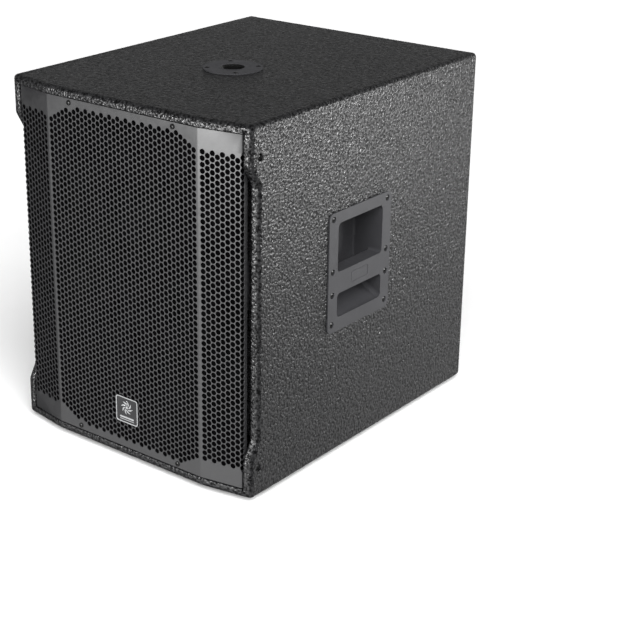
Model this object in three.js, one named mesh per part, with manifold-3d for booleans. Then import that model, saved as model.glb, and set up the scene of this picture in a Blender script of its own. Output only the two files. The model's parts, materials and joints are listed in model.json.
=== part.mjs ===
// Powered subwoofer cabinet: a plywood box with one long-throw woofer behind a folded steel
// grille, a slot port under it, a bar handle in each side, a pole socket on top and an
// amplifier plate let into the back.
//
// Units are millimetres. +Z is up, the grille faces -Y and the amplifier faces +Y. The origin
// is on the floor, under the middle of the box.

import * as THREE from 'three';
import { mergeVertices } from 'three/addons/utils/BufferGeometryUtils.js';
import Module from 'manifold-3d';

const wasm = await Module();
wasm.setup();

// ---------------------------------------------------------------- driving dimensions

const GAP = 0.3;                 // clearance kept between pieces that touch
const OVERRUN = 5;               // how far a cutting shape runs past what it cuts
const CUTOUT_PLAY = 2;           // round the handles and the amplifier in their panels

const WIDTH = 520;               // over the side panels
const HEIGHT = 628;              // of the wooden box, without its feet
const DEPTH = 652;               // middle of the front edge to the back
const FOOT_HEIGHT = 8;
const SIDE_T = 18;
const LID_T = 15;                // top and bottom panels
const BACK_T = 18;

const FOLD_X = 168;              // half the width of the straight middle of the front
const FOLD_BACK = 16;            // how far the front falls back at the outer edges

const NOTCH_DEPTH = 18;          // the side panels' front edges step back between two chamfers
const NOTCH_START = 66;          // from each end of the panel to the chamfer
const NOTCH_FLAT = 98;           // from each end of the panel to the end of the chamfer

const BAFFLE_FRONT = -278;
const BAFFLE_T = 18;
const PORT_HEIGHT = 80;
const SHELF_T = 15;
const PORT_BACK = 150;           // where the port shelf ends inside the box
const DIVIDER_T = 15;

const BRACE_FRONT = 92;
const BRACE_T = 15;

const GRILLE_RECESS = 2;         // how far the grille lies behind the panels' front edges
const GRILLE_T = 1.5;
const GRILLE_FOLD_X = 163.5;     // half the width of the grille's flat middle
const GRILLE_FLANGE = 12;        // the grille's side edges turn back by this much
const GRILLE_GAP = 1;            // between the grille and the panels round it
const FOAM_T = 6;
const GRILLE_SCREW_X = 113;
const GRILLE_SCREW_IN = 23;      // from the top or bottom of the box
const BATTEN_HALF = 150;
const BATTEN_SIZE = 22;
const SCREW = { hole: 2.6, shank: 2, head: 4.2, headT: 1.7, length: 24 };
const SIDE_SCREW_IN = 52;        // height of the corner blocks, from the top or bottom
const BLOCK = { size: 24, width: 20, depth: 19, setBack: 1 };
const BRACE_RIM = 40;
const BRACE_RIB = 20;

const BADGE = { width: 50, height: 48, thickness: 1.6, z: 87 };

const POLE = {
  y: -43, flangeR: 52, flangeT: 2.5, tubeR: 22.5, boreR: 18.3, mouthR: 20.5, depth: 90, floorT: 5,
};

const HANDLE = {
  y: -25.5, z: 332.5,            // centre of the plate, z from the bottom of the box
  halfWidth: 88, halfHeight: 105.5, proud: 2.4,
  pocketHalf: 63.5, pocketTop: 85.5, barTop: -0.5, barBottom: -38.5, pocketBottom: -81.5,
  depth: 57, wall: 3, barT: 26, cornerR: 10,
  // From the floor behind the bar down to the mouth, as [inwards from the panel, z].
  scoop: [[57, -40.5], [48, -56.5], [18, -73.5], [4, -81.5]],
  scoopBack: [[60, -41.5], [50, -58.5], [20, -76.5], [4, -84.5]],
};

const FOOT = { radius: 18, edge: 2, taper: 1, x: 205, yFront: -250, yBack: 270 };

const WOOFER_Z = FOOT_HEIGHT + LID_T + PORT_HEIGHT + SHELF_T + 251.5;
const WOOFER_CUTOUT_R = 212.5;
const WOOFER_FLANGE = { inner: 213, outer: 229, gasketT: 1.4 };
const TERMINAL = { half: 18, low: -128, high: -114, y0: -160, y1: -144 };
const BASKET_RIBS = 8;

// Turned profiles of the woofer as [radius, y].
const BASKET_PROFILE = [
  [230, -286.3], [230, -278.3], [211, -278.3], [209, -268], [116, -168], [112, -162],
  [112, -141], [60, -141], [60, -146], [104, -146], [104, -166], [99, -166], [99, -170],
  [110, -170], [198, -266], [200, -286.3],
];
const CONE_PROFILE = [
  [176, -282], [166, -282], [54, -208], [51.4, -206], [51.4, -203], [54, -204.6], [166, -279], [176, -279.4],
];
const DUST_CAP_PROFILE = [
  [0, -238], [26, -235.4], [48, -228.6], [69, -218.6], [67.6, -217.8], [47, -227.4], [25.5, -234], [0, -236.6],
];
const COIL_PROFILE = [[50, -206], [51, -206], [51, -150], [52.2, -150], [52.2, -120], [50, -120]];
const YOKE_PROFILE = [[16, -91.1], [100, -91.1], [100, -103.1], [48.8, -103.1], [48.8, -141], [16, -141]];
const TOP_PLATE = { inner: 53.5, outer: 100, y0: -140.7, y1: -128.7 };
const MAGNET = { inner: 60, outer: 110, y0: -128.4, y1: -103.4 };
const SURROUND = {
  lip: -286.9, coneLip: -282.4, thickness: 1.6, rollR: 187, rollOuter: 11.5, rollInner: 9.8,
  inner: 164, coneEdge: 176, outer: 212, steps: 4,
};
const SPIDER = { outer: [104, -172.2], inner: [51.5, -179], folds: 7, lift: 2.2, thickness: 0.9 };

const AMP_Z = FOOT_HEIGHT + HEIGHT / 2;
const AMP = {
  halfWidth: 84.5, halfHeight: 194, rebate: 7, plateBack: 320.6, bodyHalf: 66, bodyHalfHeight: 178,
};
const EMBLEM = { z: -8, radius: 29.5, dish: 31, boss: 33 };
const RAISED = 325.8;            // outer face of the fins
const GROOVE = { half: 3.6, floor: 313, inset: 5, point: 4 };
const GASKET_T = 1;
const TRAY = { wall: 1.5, half: 66, halfHeight: 176, back: 225 };
const BOARD = { half: 60, halfHeight: 165, y0: 266, y1: 267.6 };
const SUPPLY = { half: 45, low: -120, high: 20, y0: 228, y1: 265 };
const CABLE_R = 3.5;

const AMP_FACE = 324;            // outer face of the amplifier plate
const CAST_BACK = 308;           // back of the casting behind the plate
const PANEL_T = 1.7;             // connector panels at the back of the two recesses
const FIN_PITCH = 13.8;
const GROOVES = 8;

// ---------------------------------------------------------------- derived places

const HALF_W = WIDTH / 2;
const FRONT = -DEPTH / 2;
const BACK = DEPTH / 2;
const BASE = FOOT_HEIGHT;
const TOP = BASE + HEIGHT;
const INNER_X = HALF_W - SIDE_T;
const INNER_BASE = BASE + LID_T;
const INNER_TOP = TOP - LID_T;
const SLOPE = FOLD_BACK / (HALF_W - FOLD_X);
const SHELF_BASE = INNER_BASE + PORT_HEIGHT;
const SHELF_TOP = SHELF_BASE + SHELF_T;
const BAFFLE_BACK = BAFFLE_FRONT + BAFFLE_T;
const BACK_INNER = BACK - BACK_T;
const PANEL_FRONT = CAST_BACK - GAP;
const PANEL_BACK = PANEL_FRONT - PANEL_T;
const CONNECTOR_FACE = PANEL_FRONT + GAP;
const HANDLE_Z = BASE + HANDLE.z;

// ---------------------------------------------------------------- materials

const material = (color, roughness, metalness = 0) =>
  new THREE.MeshStandardMaterial({ color, roughness, metalness });

const PAINTED_WOOD = material(0x2b2b2d, 0.75);
const BARE_WOOD = material(0xa98a5c, 0.8);
const PAINTED_STEEL = material(0x38383b, 0.45, 0.4);
const BLACK_STEEL = material(0x141416, 0.35, 0.6);
const FOAM = material(0x0e0e0f, 0.95);
const HANDLE_PLASTIC = material(0x303033, 0.5);
const RUBBER = material(0x121212, 0.85);
const CAST_METAL = material(0x3b3b3e, 0.5, 0.8);
const ZINC = material(0xb4b7bb, 0.35, 0.9);
const FERRITE = material(0x26262a, 0.7);
const PAPER = material(0x1b1b1c, 0.9);
const COPPER = material(0xb3693a, 0.4, 0.9);
const SPIDER_CLOTH = material(0xc8a055, 0.9);
const AMP_BLACK = material(0x1c1c1e, 0.45, 0.6);
const BLACK_PLASTIC = material(0x151516, 0.4);
const WHITE_PLASTIC = material(0xe8e8e6, 0.4);
const SILVER = material(0xc9c9cb, 0.3, 0.9);
const CIRCUIT_BOARD = material(0x14512f, 0.5);
const CABLE_JACKET = material(0x7d1f1c, 0.6);

// ---------------------------------------------------------------- geometry helpers

function box(x0, x1, y0, y1, z0, z1) {
  return new THREE.BoxGeometry(x1 - x0, y1 - y0, z1 - z0)
    .translate((x0 + x1) / 2, (y0 + y1) / 2, (z0 + z1) / 2);
}

function outline(points) {
  return new THREE.Shape(points.map(([u, v]) => new THREE.Vector2(u, v)));
}

function extruded(shape, depth) {
  return new THREE.ExtrudeGeometry(shape, { depth, bevelEnabled: false, curveSegments: 5 });
}

// Prisms along each axis. The outline's two coordinates are the other two axes in X, Y, Z order.
function prismZ(points, z0, z1) {
  return extruded(outline(points), z1 - z0).translate(0, 0, z0);
}

const turnToX = (x0) => new THREE.Matrix4().set(0, 0, 1, x0, 1, 0, 0, 0, 0, 1, 0, 0, 0, 0, 0, 1);

function prismX(points, x0, x1) {
  return extruded(outline(points), x1 - x0).applyMatrix4(turnToX(x0));
}

function prismY(points, y0, y1) {
  return extruded(outline(points), y1 - y0).rotateX(Math.PI / 2).translate(0, y1, 0);
}

// A turned piece about a line along Y through (x, z). The profile is a list of [radius, y].
function turnedY(profile, x, z, segments) {
  const points = profile.map(([r, y]) => new THREE.Vector2(r, y));
  return new THREE.LatheGeometry(points, segments).translate(x, 0, z);
}

// A turned piece about a line along Z through (x, y). The profile is a list of [radius, z].
function turnedZ(profile, x, y, segments) {
  const points = profile.map(([r, z]) => new THREE.Vector2(r, z));
  return new THREE.LatheGeometry(points, segments).rotateX(Math.PI / 2).translate(x, y, 0);
}

// A ring whose profile closes on itself.
const closed = (profile) => [...profile, profile[0]];

// The solid between two rectangles, each { x0, x1, z0, z1, y }.
function taper(back, front) {
  const corners = [back, front].flatMap(({ x0, x1, z0, z1, y }) =>
    [[x0, y, z0], [x1, y, z0], [x1, y, z1], [x0, y, z1]]);
  const quads = [[0, 1, 2, 3], [7, 6, 5, 4], [4, 5, 1, 0], [5, 6, 2, 1], [6, 7, 3, 2], [7, 4, 0, 3]];
  const geometry = new THREE.BufferGeometry();
  geometry.setAttribute('position', new THREE.Float32BufferAttribute(corners.flat(), 3));
  geometry.setIndex(quads.flatMap(([a, b, c, d]) => [a, b, c, a, c, d]));
  return geometry;
}

// Merges shared vertices and turns the faces outwards.
function sealed(geometry) {
  geometry.deleteAttribute('normal');
  geometry.deleteAttribute('uv');
  const merged = mergeVertices(geometry, 1e-4);
  const p = merged.attributes.position.array;
  const kept = [];
  let volume = 0;
  for (let i = 0; i < merged.index.count; i += 3) {
    const [a, b, c] = merged.index.array.slice(i, i + 3);
    if (a === b || b === c || c === a) continue;
    kept.push(a, b, c);
    const [ax, ay, az, bx, by, bz, cx, cy, cz] = [a, b, c].flatMap((v) => [...p.slice(3 * v, 3 * v + 3)]);
    volume += ax * (by * cz - bz * cy) + ay * (bz * cx - bx * cz) + az * (bx * cy - by * cx);
  }
  if (volume < 0) kept.reverse();
  merged.setIndex(kept);
  return merged;
}

function solid(geometry) {
  const { attributes, index } = sealed(geometry);
  return new wasm.Manifold(new wasm.Mesh({
    numProp: 3,
    vertProperties: new Float32Array(attributes.position.array),
    triVerts: new Uint32Array(index.array),
  }));
}

function geometryOf(manifold) {
  const { numProp, vertProperties, triVerts } = manifold.getMesh();
  const positions = new Float32Array(vertProperties.length / numProp * 3);
  for (let i = 0; i < positions.length / 3; i += 1) {
    positions.set(vertProperties.subarray(i * numProp, i * numProp + 3), 3 * i);
  }
  const geometry = new THREE.BufferGeometry();
  geometry.setAttribute('position', new THREE.BufferAttribute(positions, 3));
  geometry.setIndex([...triVerts]);
  return geometry;
}

const joined = (geometries) => geometries.map(solid).reduce((all, next) => all.add(next));
const cut = (base, tools) => geometryOf(solid(base).subtract(joined(tools)));
const union = (geometries) => geometryOf(joined(geometries));

const group = new THREE.Group();

function place(name, geometry, finish) {
  const mesh = new THREE.Mesh(sealed(geometry), finish);
  mesh.name = name;
  group.add(mesh);
}

function rod(radius, x, z, y0, y1, segments = 12) {
  return turnedY([[0, y0], [radius, y0], [radius, y1], [0, y1]], x, z, segments);
}

// ---------------------------------------------------------------- the wooden box

const frontAt = (x) => FRONT + Math.max(0, Math.abs(x) - FOLD_X) * SLOPE;

function lidOutline() {
  const edge = INNER_X - GAP;
  return [
    [-edge, BACK], [edge, BACK], [edge, frontAt(edge)],
    [FOLD_X, FRONT], [-FOLD_X, FRONT], [-edge, frontAt(edge)],
  ];
}

function topPanel() {
  const low = INNER_TOP - OVERRUN;
  const high = TOP + OVERRUN;
  const radius = POLE.tubeR + 1;
  const hole = turnedZ([[0, low], [radius, low], [radius, high], [0, high]], 0, POLE.y, 28);
  place('top_panel', cut(prismZ(lidOutline(), INNER_TOP, TOP), [hole]), PAINTED_WOOD);
}

function bottomPanel() {
  place('bottom_panel', prismZ(lidOutline(), BASE, INNER_BASE), PAINTED_WOOD);
}

function sidePanel(name, side) {
  const front = frontAt(INNER_X);
  const points = [
    [BACK, BASE], [BACK, TOP], [front, TOP],
    [front, TOP - NOTCH_START], [front + NOTCH_DEPTH, TOP - NOTCH_FLAT],
    [front + NOTCH_DEPTH, BASE + NOTCH_FLAT], [front, BASE + NOTCH_START], [front, BASE],
  ];
  const panel = prismX(points, INNER_X, HALF_W);
  // The front edge slants with the front of the lids, so its outer corners lie further back.
  const position = panel.attributes.position;
  for (let i = 0; i < position.count; i += 1) {
    if (position.getY(i) > 0) continue;
    position.setY(i, position.getY(i) + (position.getX(i) - INNER_X) * SLOPE);
  }
  const margin = HANDLE.wall + CUTOUT_PLAY;
  const opening = box(INNER_X - OVERRUN, HALF_W + OVERRUN,
    HANDLE.y - HANDLE.pocketHalf - margin, HANDLE.y + HANDLE.pocketHalf + margin,
    HANDLE_Z + HANDLE.pocketBottom - margin, HANDLE_Z + HANDLE.pocketTop + margin);
  place(name, cut(panel, [opening]).scale(side, 1, 1), PAINTED_WOOD);
}

function rearPanel() {
  const edge = INNER_X - GAP;
  const board = box(-edge, edge, BACK_INNER, BACK, INNER_BASE + GAP, INNER_TOP - GAP);
  const round = (half, halfHeight, y0, y1) =>
    ampBox(half + CUTOUT_PLAY, y0, y1, -halfHeight - CUTOUT_PLAY, halfHeight + CUTOUT_PLAY);
  const rebate = round(AMP.halfWidth, AMP.halfHeight, BACK - AMP.rebate, BACK + OVERRUN);
  const opening = round(AMP.bodyHalf, AMP.bodyHalfHeight, BACK_INNER - OVERRUN, BACK);
  place('rear_panel', cut(board, [rebate, opening]), PAINTED_WOOD);
}

function frontBaffle() {
  const edge = INNER_X - GAP;
  const board = box(-edge, edge, BAFFLE_FRONT, BAFFLE_BACK, SHELF_BASE, INNER_TOP - GAP);
  const hole = rod(WOOFER_CUTOUT_R, 0, WOOFER_Z, BAFFLE_FRONT - OVERRUN, BAFFLE_BACK + OVERRUN, 48);
  place('front_baffle', cut(board, [hole]), PAINTED_WOOD);
}

function portParts() {
  const edge = INNER_X - GAP;
  place('port_shelf', box(-edge, edge, BAFFLE_BACK + GAP, PORT_BACK, SHELF_BASE, SHELF_TOP), BARE_WOOD);
  place('port_divider', box(-DIVIDER_T / 2, DIVIDER_T / 2, BAFFLE_BACK + GAP, PORT_BACK,
    INNER_BASE + GAP, SHELF_BASE - GAP), BARE_WOOD);
}

function windowBrace() {
  const edge = INNER_X - GAP;
  const board = box(-edge, edge, BRACE_FRONT, BRACE_FRONT + BRACE_T, SHELF_TOP + GAP, INNER_TOP - GAP);
  const windows = [[-edge + BRACE_RIM, -BRACE_RIB], [BRACE_RIB, edge - BRACE_RIM]].map(([x0, x1]) =>
    box(x0, x1, BRACE_FRONT - OVERRUN, BRACE_FRONT + BRACE_T + OVERRUN,
      SHELF_TOP + BRACE_RIM, INNER_TOP - BRACE_RIM));
  place('window_brace', cut(board, windows), BARE_WOOD);
}

function feet() {
  const profile = [[0, 0], [FOOT.radius - FOOT.edge, 0], [FOOT.radius, FOOT.edge],
    [FOOT.radius - FOOT.taper, FOOT_HEIGHT - GAP], [0, FOOT_HEIGHT - GAP]];
  const corners = { front_left: [-1, FOOT.yFront], front_right: [1, FOOT.yFront],
    back_left: [-1, FOOT.yBack], back_right: [1, FOOT.yBack] };
  for (const [corner, [side, y]] of Object.entries(corners)) {
    place(`foot_${corner}`, turnedZ(profile, side * FOOT.x, y, 20), RUBBER);
  }
}

// ---------------------------------------------------------------- grille

// A sheet folded like the front of the box, with its outer face `recess` behind the middle of it.
function foldedSheet(recess, thickness, edge, flange) {
  const outer = (x) => FRONT + recess + (x - GRILLE_FOLD_X) * SLOPE;
  const points = [
    [-edge, outer(edge)], [-GRILLE_FOLD_X, FRONT + recess],
    [GRILLE_FOLD_X, FRONT + recess], [edge, outer(edge)],
  ];
  const inner = points.map(([x, y]) => [x, y + thickness]).reverse();
  if (flange) {
    inner[0] = [edge - thickness, outer(edge) + thickness];
    inner[3] = [thickness - edge, outer(edge) + thickness];
    inner.unshift([edge, outer(edge) + flange], [edge - thickness, outer(edge) + flange]);
    inner.push([thickness - edge, outer(edge) + flange], [-edge, outer(edge) + flange]);
  }
  return prismZ([...points, ...inner], INNER_BASE + GRILLE_GAP, INNER_TOP - GRILLE_GAP);
}

const grilleScrewPlaces = [-1, 1].flatMap((side) =>
  [BASE + GRILLE_SCREW_IN, TOP - GRILLE_SCREW_IN].map((z) => [side * GRILLE_SCREW_X, z]));

const screwHoles = (y0, y1) => grilleScrewPlaces.map(([x, z]) => rod(SCREW.hole, x, z, y0, y1));

function grille() {
  const edge = INNER_X - GRILLE_GAP;
  const holes = screwHoles(FRONT - OVERRUN, FRONT + GRILLE_RECESS + GRILLE_T + FOAM_T + OVERRUN);
  place('grille', cut(foldedSheet(GRILLE_RECESS, GRILLE_T, edge, GRILLE_FLANGE), holes), PAINTED_STEEL);
  const foamRecess = GRILLE_RECESS + GRILLE_T + GAP;
  const foam = foldedSheet(foamRecess, FOAM_T, edge - GRILLE_T - 1, 0);
  place('grille_foam', cut(foam, holes), FOAM);
}

function grilleBattens() {
  const y0 = FRONT + GRILLE_RECESS + GRILLE_T + FOAM_T + 2 * GAP;
  const holes = screwHoles(y0 - OVERRUN, y0 + SCREW.length - OVERRUN);
  const batten = (z0, z1) => cut(box(-BATTEN_HALF, BATTEN_HALF, y0, y0 + BATTEN_SIZE, z0, z1), holes);
  place('grille_batten_top', batten(INNER_TOP - BATTEN_SIZE, INNER_TOP - GAP), PAINTED_WOOD);
  place('grille_batten_bottom', batten(INNER_BASE + GAP, INNER_BASE + BATTEN_SIZE), PAINTED_WOOD);
}

function grilleScrews() {
  const head = FRONT + GRILLE_RECESS - GAP;
  const crown = head - SCREW.headT;
  const profile = [[0, crown], [SCREW.head - 1.6, crown + 0.2], [SCREW.head, head - 0.4], [SCREW.head, head],
    [SCREW.shank, head], [SCREW.shank, head + SCREW.length - 2], [0, head + SCREW.length]];
  grilleScrewPlaces.forEach(([x, z], i) => {
    place(`grille_screw_${i + 1}`, turnedY(profile, x, z, 14), BLACK_STEEL);
  });
}

// Blocks inside the corners, which the screws through the side panels hold and which carry the
// grille's turned-back edges.
function cornerBlocks() {
  const half = BLOCK.size / 2;
  const y1 = BAFFLE_FRONT - BLOCK.setBack;
  const heights = { bottom: BASE + SIDE_SCREW_IN, top: TOP - SIDE_SCREW_IN };
  for (const [end, z] of Object.entries(heights)) {
    const block = () => box(INNER_X - BLOCK.width, INNER_X - GAP, y1 - BLOCK.depth, y1, z - half, z + half);
    place(`corner_block_${end}_right`, block(), PAINTED_WOOD);
    place(`corner_block_${end}_left`, block().scale(-1, 1, 1), PAINTED_WOOD);
  }
}

function badge() {
  const back = FRONT + GRILLE_RECESS - GAP;
  const plate = box(-BADGE.width / 2, BADGE.width / 2, back - BADGE.thickness, back,
    BASE + BADGE.z - BADGE.height / 2, BASE + BADGE.z + BADGE.height / 2);
  place('badge_plate', plate, SILVER);
}

// ---------------------------------------------------------------- pole socket and handles

function poleSocket() {
  const face = TOP + POLE.flangeT;
  const profile = [
    [0, TOP - POLE.depth - POLE.floorT], [POLE.tubeR, TOP - POLE.depth - POLE.floorT], [POLE.tubeR, TOP + GAP],
    [POLE.flangeR, TOP + GAP], [POLE.flangeR, face - 1], [POLE.flangeR - 1.5, face],
    [POLE.mouthR, face], [POLE.boreR, face - 3], [POLE.boreR, TOP - POLE.depth], [0, TOP - POLE.depth],
  ];
  place('pole_socket', turnedZ(profile, 0, POLE.y, 28), HANDLE_PLASTIC);
}

function roundedRectangle(halfU, halfV, radius) {
  const shape = new THREE.Shape();
  shape.moveTo(-halfU + radius, -halfV);
  shape.lineTo(halfU - radius, -halfV);
  shape.absarc(halfU - radius, -halfV + radius, radius, -Math.PI / 2, 0);
  shape.absarc(halfU - radius, halfV - radius, radius, 0, Math.PI / 2);
  shape.absarc(-halfU + radius, halfV - radius, radius, Math.PI / 2, Math.PI);
  shape.absarc(-halfU + radius, -halfV + radius, radius, Math.PI, 1.5 * Math.PI);
  return shape;
}

// The hand goes in above and below a bar, and the two pockets meet behind it.
function handle(name, side) {
  const face = HALF_W + HANDLE.proud;
  const floor = HALF_W - HANDLE.depth;
  const barBack = face - HANDLE.barT;
  const mouth = face + OVERRUN;
  const { pocketTop, pocketBottom, barTop, barBottom, pocketHalf, wall, cornerR } = HANDLE;
  const inwards = (points) => points.map(([x, z]) => [HALF_W - x, z]);
  const hollow = [
    [mouth, pocketTop], [floor, pocketTop], ...inwards(HANDLE.scoop), [mouth, pocketBottom],
    [mouth, barBottom], [barBack, barBottom], [barBack, barTop], [mouth, barTop],
  ];
  const shell = [
    [face, pocketTop + wall], [floor - wall, pocketTop + wall],
    ...inwards(HANDLE.scoopBack), [face, pocketBottom - wall],
  ];
  const plate = extruded(roundedRectangle(HANDLE.halfWidth, HANDLE.halfHeight, cornerR), HANDLE.proud)
    .applyMatrix4(turnToX(HALF_W + GAP));
  const housing = prismY(shell, -pocketHalf - wall, pocketHalf + wall);
  const body = joined([plate, housing]).subtract(solid(prismY(hollow, -pocketHalf, pocketHalf)));
  place(name, geometryOf(body).translate(0, HANDLE.y, HANDLE_Z).scale(side, 1, 1), HANDLE_PLASTIC);
}

// ---------------------------------------------------------------- woofer

const ring = (inner, outer, y0, y1) => closed([[inner, y0], [outer, y0], [outer, y1], [inner, y1]]);

function wooferBasket() {
  const front = BASKET_PROFILE[0][1];
  const windows = Array.from({ length: BASKET_RIBS }, (_, i) => {
    const opening = taper({ x0: -26, x1: 26, z0: 118, z1: 240, y: -176 },
      { x0: -54, x1: 54, z0: 118, z1: 240, y: -256 });
    return opening.rotateY((i + 0.5) * 2 * Math.PI / BASKET_RIBS).translate(0, 0, WOOFER_Z);
  });
  place('woofer_basket', cut(turnedY(closed(BASKET_PROFILE), 0, WOOFER_Z, 32), windows), CAST_METAL);
  const { inner, outer, gasketT } = WOOFER_FLANGE;
  const gasket = ring(inner, outer, front - gasketT - GAP, front - GAP);
  place('woofer_gasket', turnedY(gasket, 0, WOOFER_Z, 32), RUBBER);
  place('woofer_terminal', box(-TERMINAL.half, TERMINAL.half, TERMINAL.y0, TERMINAL.y1,
    WOOFER_Z + TERMINAL.low, WOOFER_Z + TERMINAL.high), BLACK_PLASTIC);
}

function surround() {
  const { lip, coneLip, thickness, rollR, rollOuter, rollInner, inner, coneEdge, outer, steps } = SURROUND;
  const front = lip - thickness;
  const arc = (radius, reverse) => Array.from({ length: steps + 1 }, (_, i) => {
    const angle = Math.PI * (reverse ? steps - i : i) / steps;
    return [rollR + radius * Math.cos(angle), front - radius * Math.sin(angle)];
  });
  const profile = closed([
    [outer, lip], [outer, front], ...arc(rollOuter, false),
    [rollR - rollOuter - 1, coneLip - thickness], [inner, coneLip - thickness],
    [inner, coneLip], [coneEdge, coneLip], ...arc(rollInner, true), [rollR + rollOuter - 1, lip],
  ]);
  place('surround', turnedY(profile, 0, WOOFER_Z, 32), RUBBER);
}

function movingParts() {
  place('woofer_cone', turnedY(closed(CONE_PROFILE), 0, WOOFER_Z, 32), PAPER);
  place('dust_cap', turnedY(DUST_CAP_PROFILE, 0, WOOFER_Z, 32), PAPER);
  place('voice_coil', turnedY(closed(COIL_PROFILE), 0, WOOFER_Z, 32), COPPER);
}

function spider() {
  const { outer, inner, folds, lift, thickness } = SPIDER;
  const wave = Array.from({ length: folds + 1 }, (_, i) => {
    const t = i / folds;
    const fold = i === 0 || i === folds ? 0 : lift * (i % 2 ? 1 : -1);
    return [outer[0] + t * (inner[0] - outer[0]), outer[1] + t * (inner[1] - outer[1]) + fold];
  });
  const back = wave.map(([r, y]) => [r, y + thickness]).reverse();
  place('spider', turnedY(closed([...wave, ...back]), 0, WOOFER_Z, 28), SPIDER_CLOTH);
}

function motor() {
  const plate = ring(TOP_PLATE.inner, TOP_PLATE.outer, TOP_PLATE.y0, TOP_PLATE.y1);
  place('woofer_top_plate', turnedY(plate, 0, WOOFER_Z, 32), ZINC);
  const magnet = ring(MAGNET.inner, MAGNET.outer, MAGNET.y0, MAGNET.y1);
  place('woofer_magnet', turnedY(magnet, 0, WOOFER_Z, 32), FERRITE);
  place('woofer_yoke', turnedY(closed(YOKE_PROFILE), 0, WOOFER_Z, 32), ZINC);
}

// ---------------------------------------------------------------- amplifier

// A box across the middle of the plate. Heights are from the plate's centre.
const ampBox = (half, y0, y1, low, high) => box(-half, half, y0, y1, AMP_Z + low, AMP_Z + high);

// Both recesses narrow towards the connector panels.
const INPUT_RECESS = { mouth: [66.5, 105.5, 176], floor: [56.5, 111.7, 174.5] };
const POWER_RECESS = { mouth: [66, -175.5, -126], floor: [59.5, -171.6, -128] };

function recess({ mouth, floor }) {
  const at = ([half, low, high], y) => ({ x0: -half, x1: half, z0: AMP_Z + low, z1: AMP_Z + high, y });
  return taper(at(floor, CAST_BACK - 1), at(mouth, AMP_FACE + 0.5));
}

const FIN_AREA = { top: 108.6, bottom: -124.6, half: 55.5, lobeHalf: 70, lobe: 43 };

function finOutline() {
  const { top, bottom, half, lobeHalf, lobe } = FIN_AREA;
  const right = [
    [half, bottom], [half, bottom + 3],
    [lobeHalf, bottom + 16], [lobeHalf, bottom + lobe], [half, bottom + lobe + 18],
    [half, top - lobe - 18], [lobeHalf, top - lobe], [lobeHalf, top - 6], [half, top],
  ];
  const left = right.map(([x, z]) => [-x, z]).reverse();
  return [...right, ...left].map(([x, z]) => [x, AMP_Z + z]);
}

function grooves() {
  const { half, floor, inset, point } = GROOVE;
  const low = AMP_Z + FIN_AREA.bottom + inset;
  const high = AMP_Z + FIN_AREA.top - inset;
  const tools = Array.from({ length: GROOVES }, (_, i) => {
    const x = (i - (GROOVES - 1) / 2) * FIN_PITCH;
    return prismY([[x - half, low + point], [x, low], [x + half, low + point],
      [x + half, high - point], [x, high], [x - half, high - point]], floor, BACK + OVERRUN);
  });
  const boss = rod(EMBLEM.boss, 0, AMP_Z + EMBLEM.z, CAST_BACK, BACK + 2 * OVERRUN, 28);
  return joined(tools).subtract(solid(boss));
}

function ampPlate() {
  const plate = ampBox(AMP.halfWidth, AMP.plateBack, AMP_FACE, -AMP.halfHeight, AMP.halfHeight);
  const body = ampBox(AMP.bodyHalf, CAST_BACK, AMP.plateBack + GAP, -AMP.bodyHalfHeight, AMP.bodyHalfHeight);
  const raised = prismY(finOutline(), AMP_FACE - 1, RAISED);
  const dish = rod(EMBLEM.dish, 0, AMP_Z + EMBLEM.z, AMP_FACE, BACK + OVERRUN, 28);
  const casting = joined([plate, body, raised])
    .subtract(grooves())
    .subtract(joined([recess(INPUT_RECESS), recess(POWER_RECESS), dish]));
  place('amp_plate', geometryOf(casting), AMP_BLACK);
  place('amp_emblem', rod(EMBLEM.radius, 0, AMP_Z + EMBLEM.z, AMP_FACE + GAP, RAISED, 24), SILVER);
}

function ampGasket() {
  const y0 = BACK - AMP.rebate + GAP;
  const outer = ampBox(AMP.halfWidth, y0, y0 + GASKET_T, -AMP.halfHeight, AMP.halfHeight);
  const reach = AMP.bodyHalfHeight + CUTOUT_PLAY;
  const inner = ampBox(AMP.bodyHalf + CUTOUT_PLAY, y0 - OVERRUN, y0 + OVERRUN, -reach, reach);
  place('amp_gasket', cut(outer, [inner]), RUBBER);
}

// Connector places as seen on the plate: x in the part's frame, z from the plate's centre.
const COMBO = { x: 33, z: 134, flange: 12.5, tube: 10, bore: 8.8 };
const XLR = { x: 7, z: 134, flange: 11, tube: 9.5, bore: 8.2, pin: 1.2, pinRing: 3.6 };
const KNOB = { x: -19.5, z: 134.5, radius: 7, shaft: 3 };
const LEDS = { x: -32, heights: [139, 134, 129], radius: 1.5 };
const SLIDER = { x: 33, z: 155, half: 1.8, halfHeight: 1.5, travel: 3 };
const BUTTON = { x: 7, z: 155, half: 5, halfHeight: 2.7, travel: 2 };
const ROCKER = {
  x: 31.5, z: -155.5, half: 12.6, halfHeight: 9.7, openHalf: 10.8, openHalfHeight: 7.2, wall: 1.2,
  back: 292, tilt: -10, lever: [[-9.9, 3], [-9.4, -3], [-5, -8], [5, -8], [9.4, -3], [9.9, 3], [0, 1.3]],
};
const INLET = { x: -37.5, top: -133, bottom: -165, half: 15, bodyHalf: 13.5 };
const DRAWER = { half: 11, top: -136.8, bottom: -145.7, cap: 12.5, capTop: -134.5, capBottom: -147 };
const SOCKET = { half: 12, top: -149.2, bottom: -163, floor: 292 };

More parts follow.
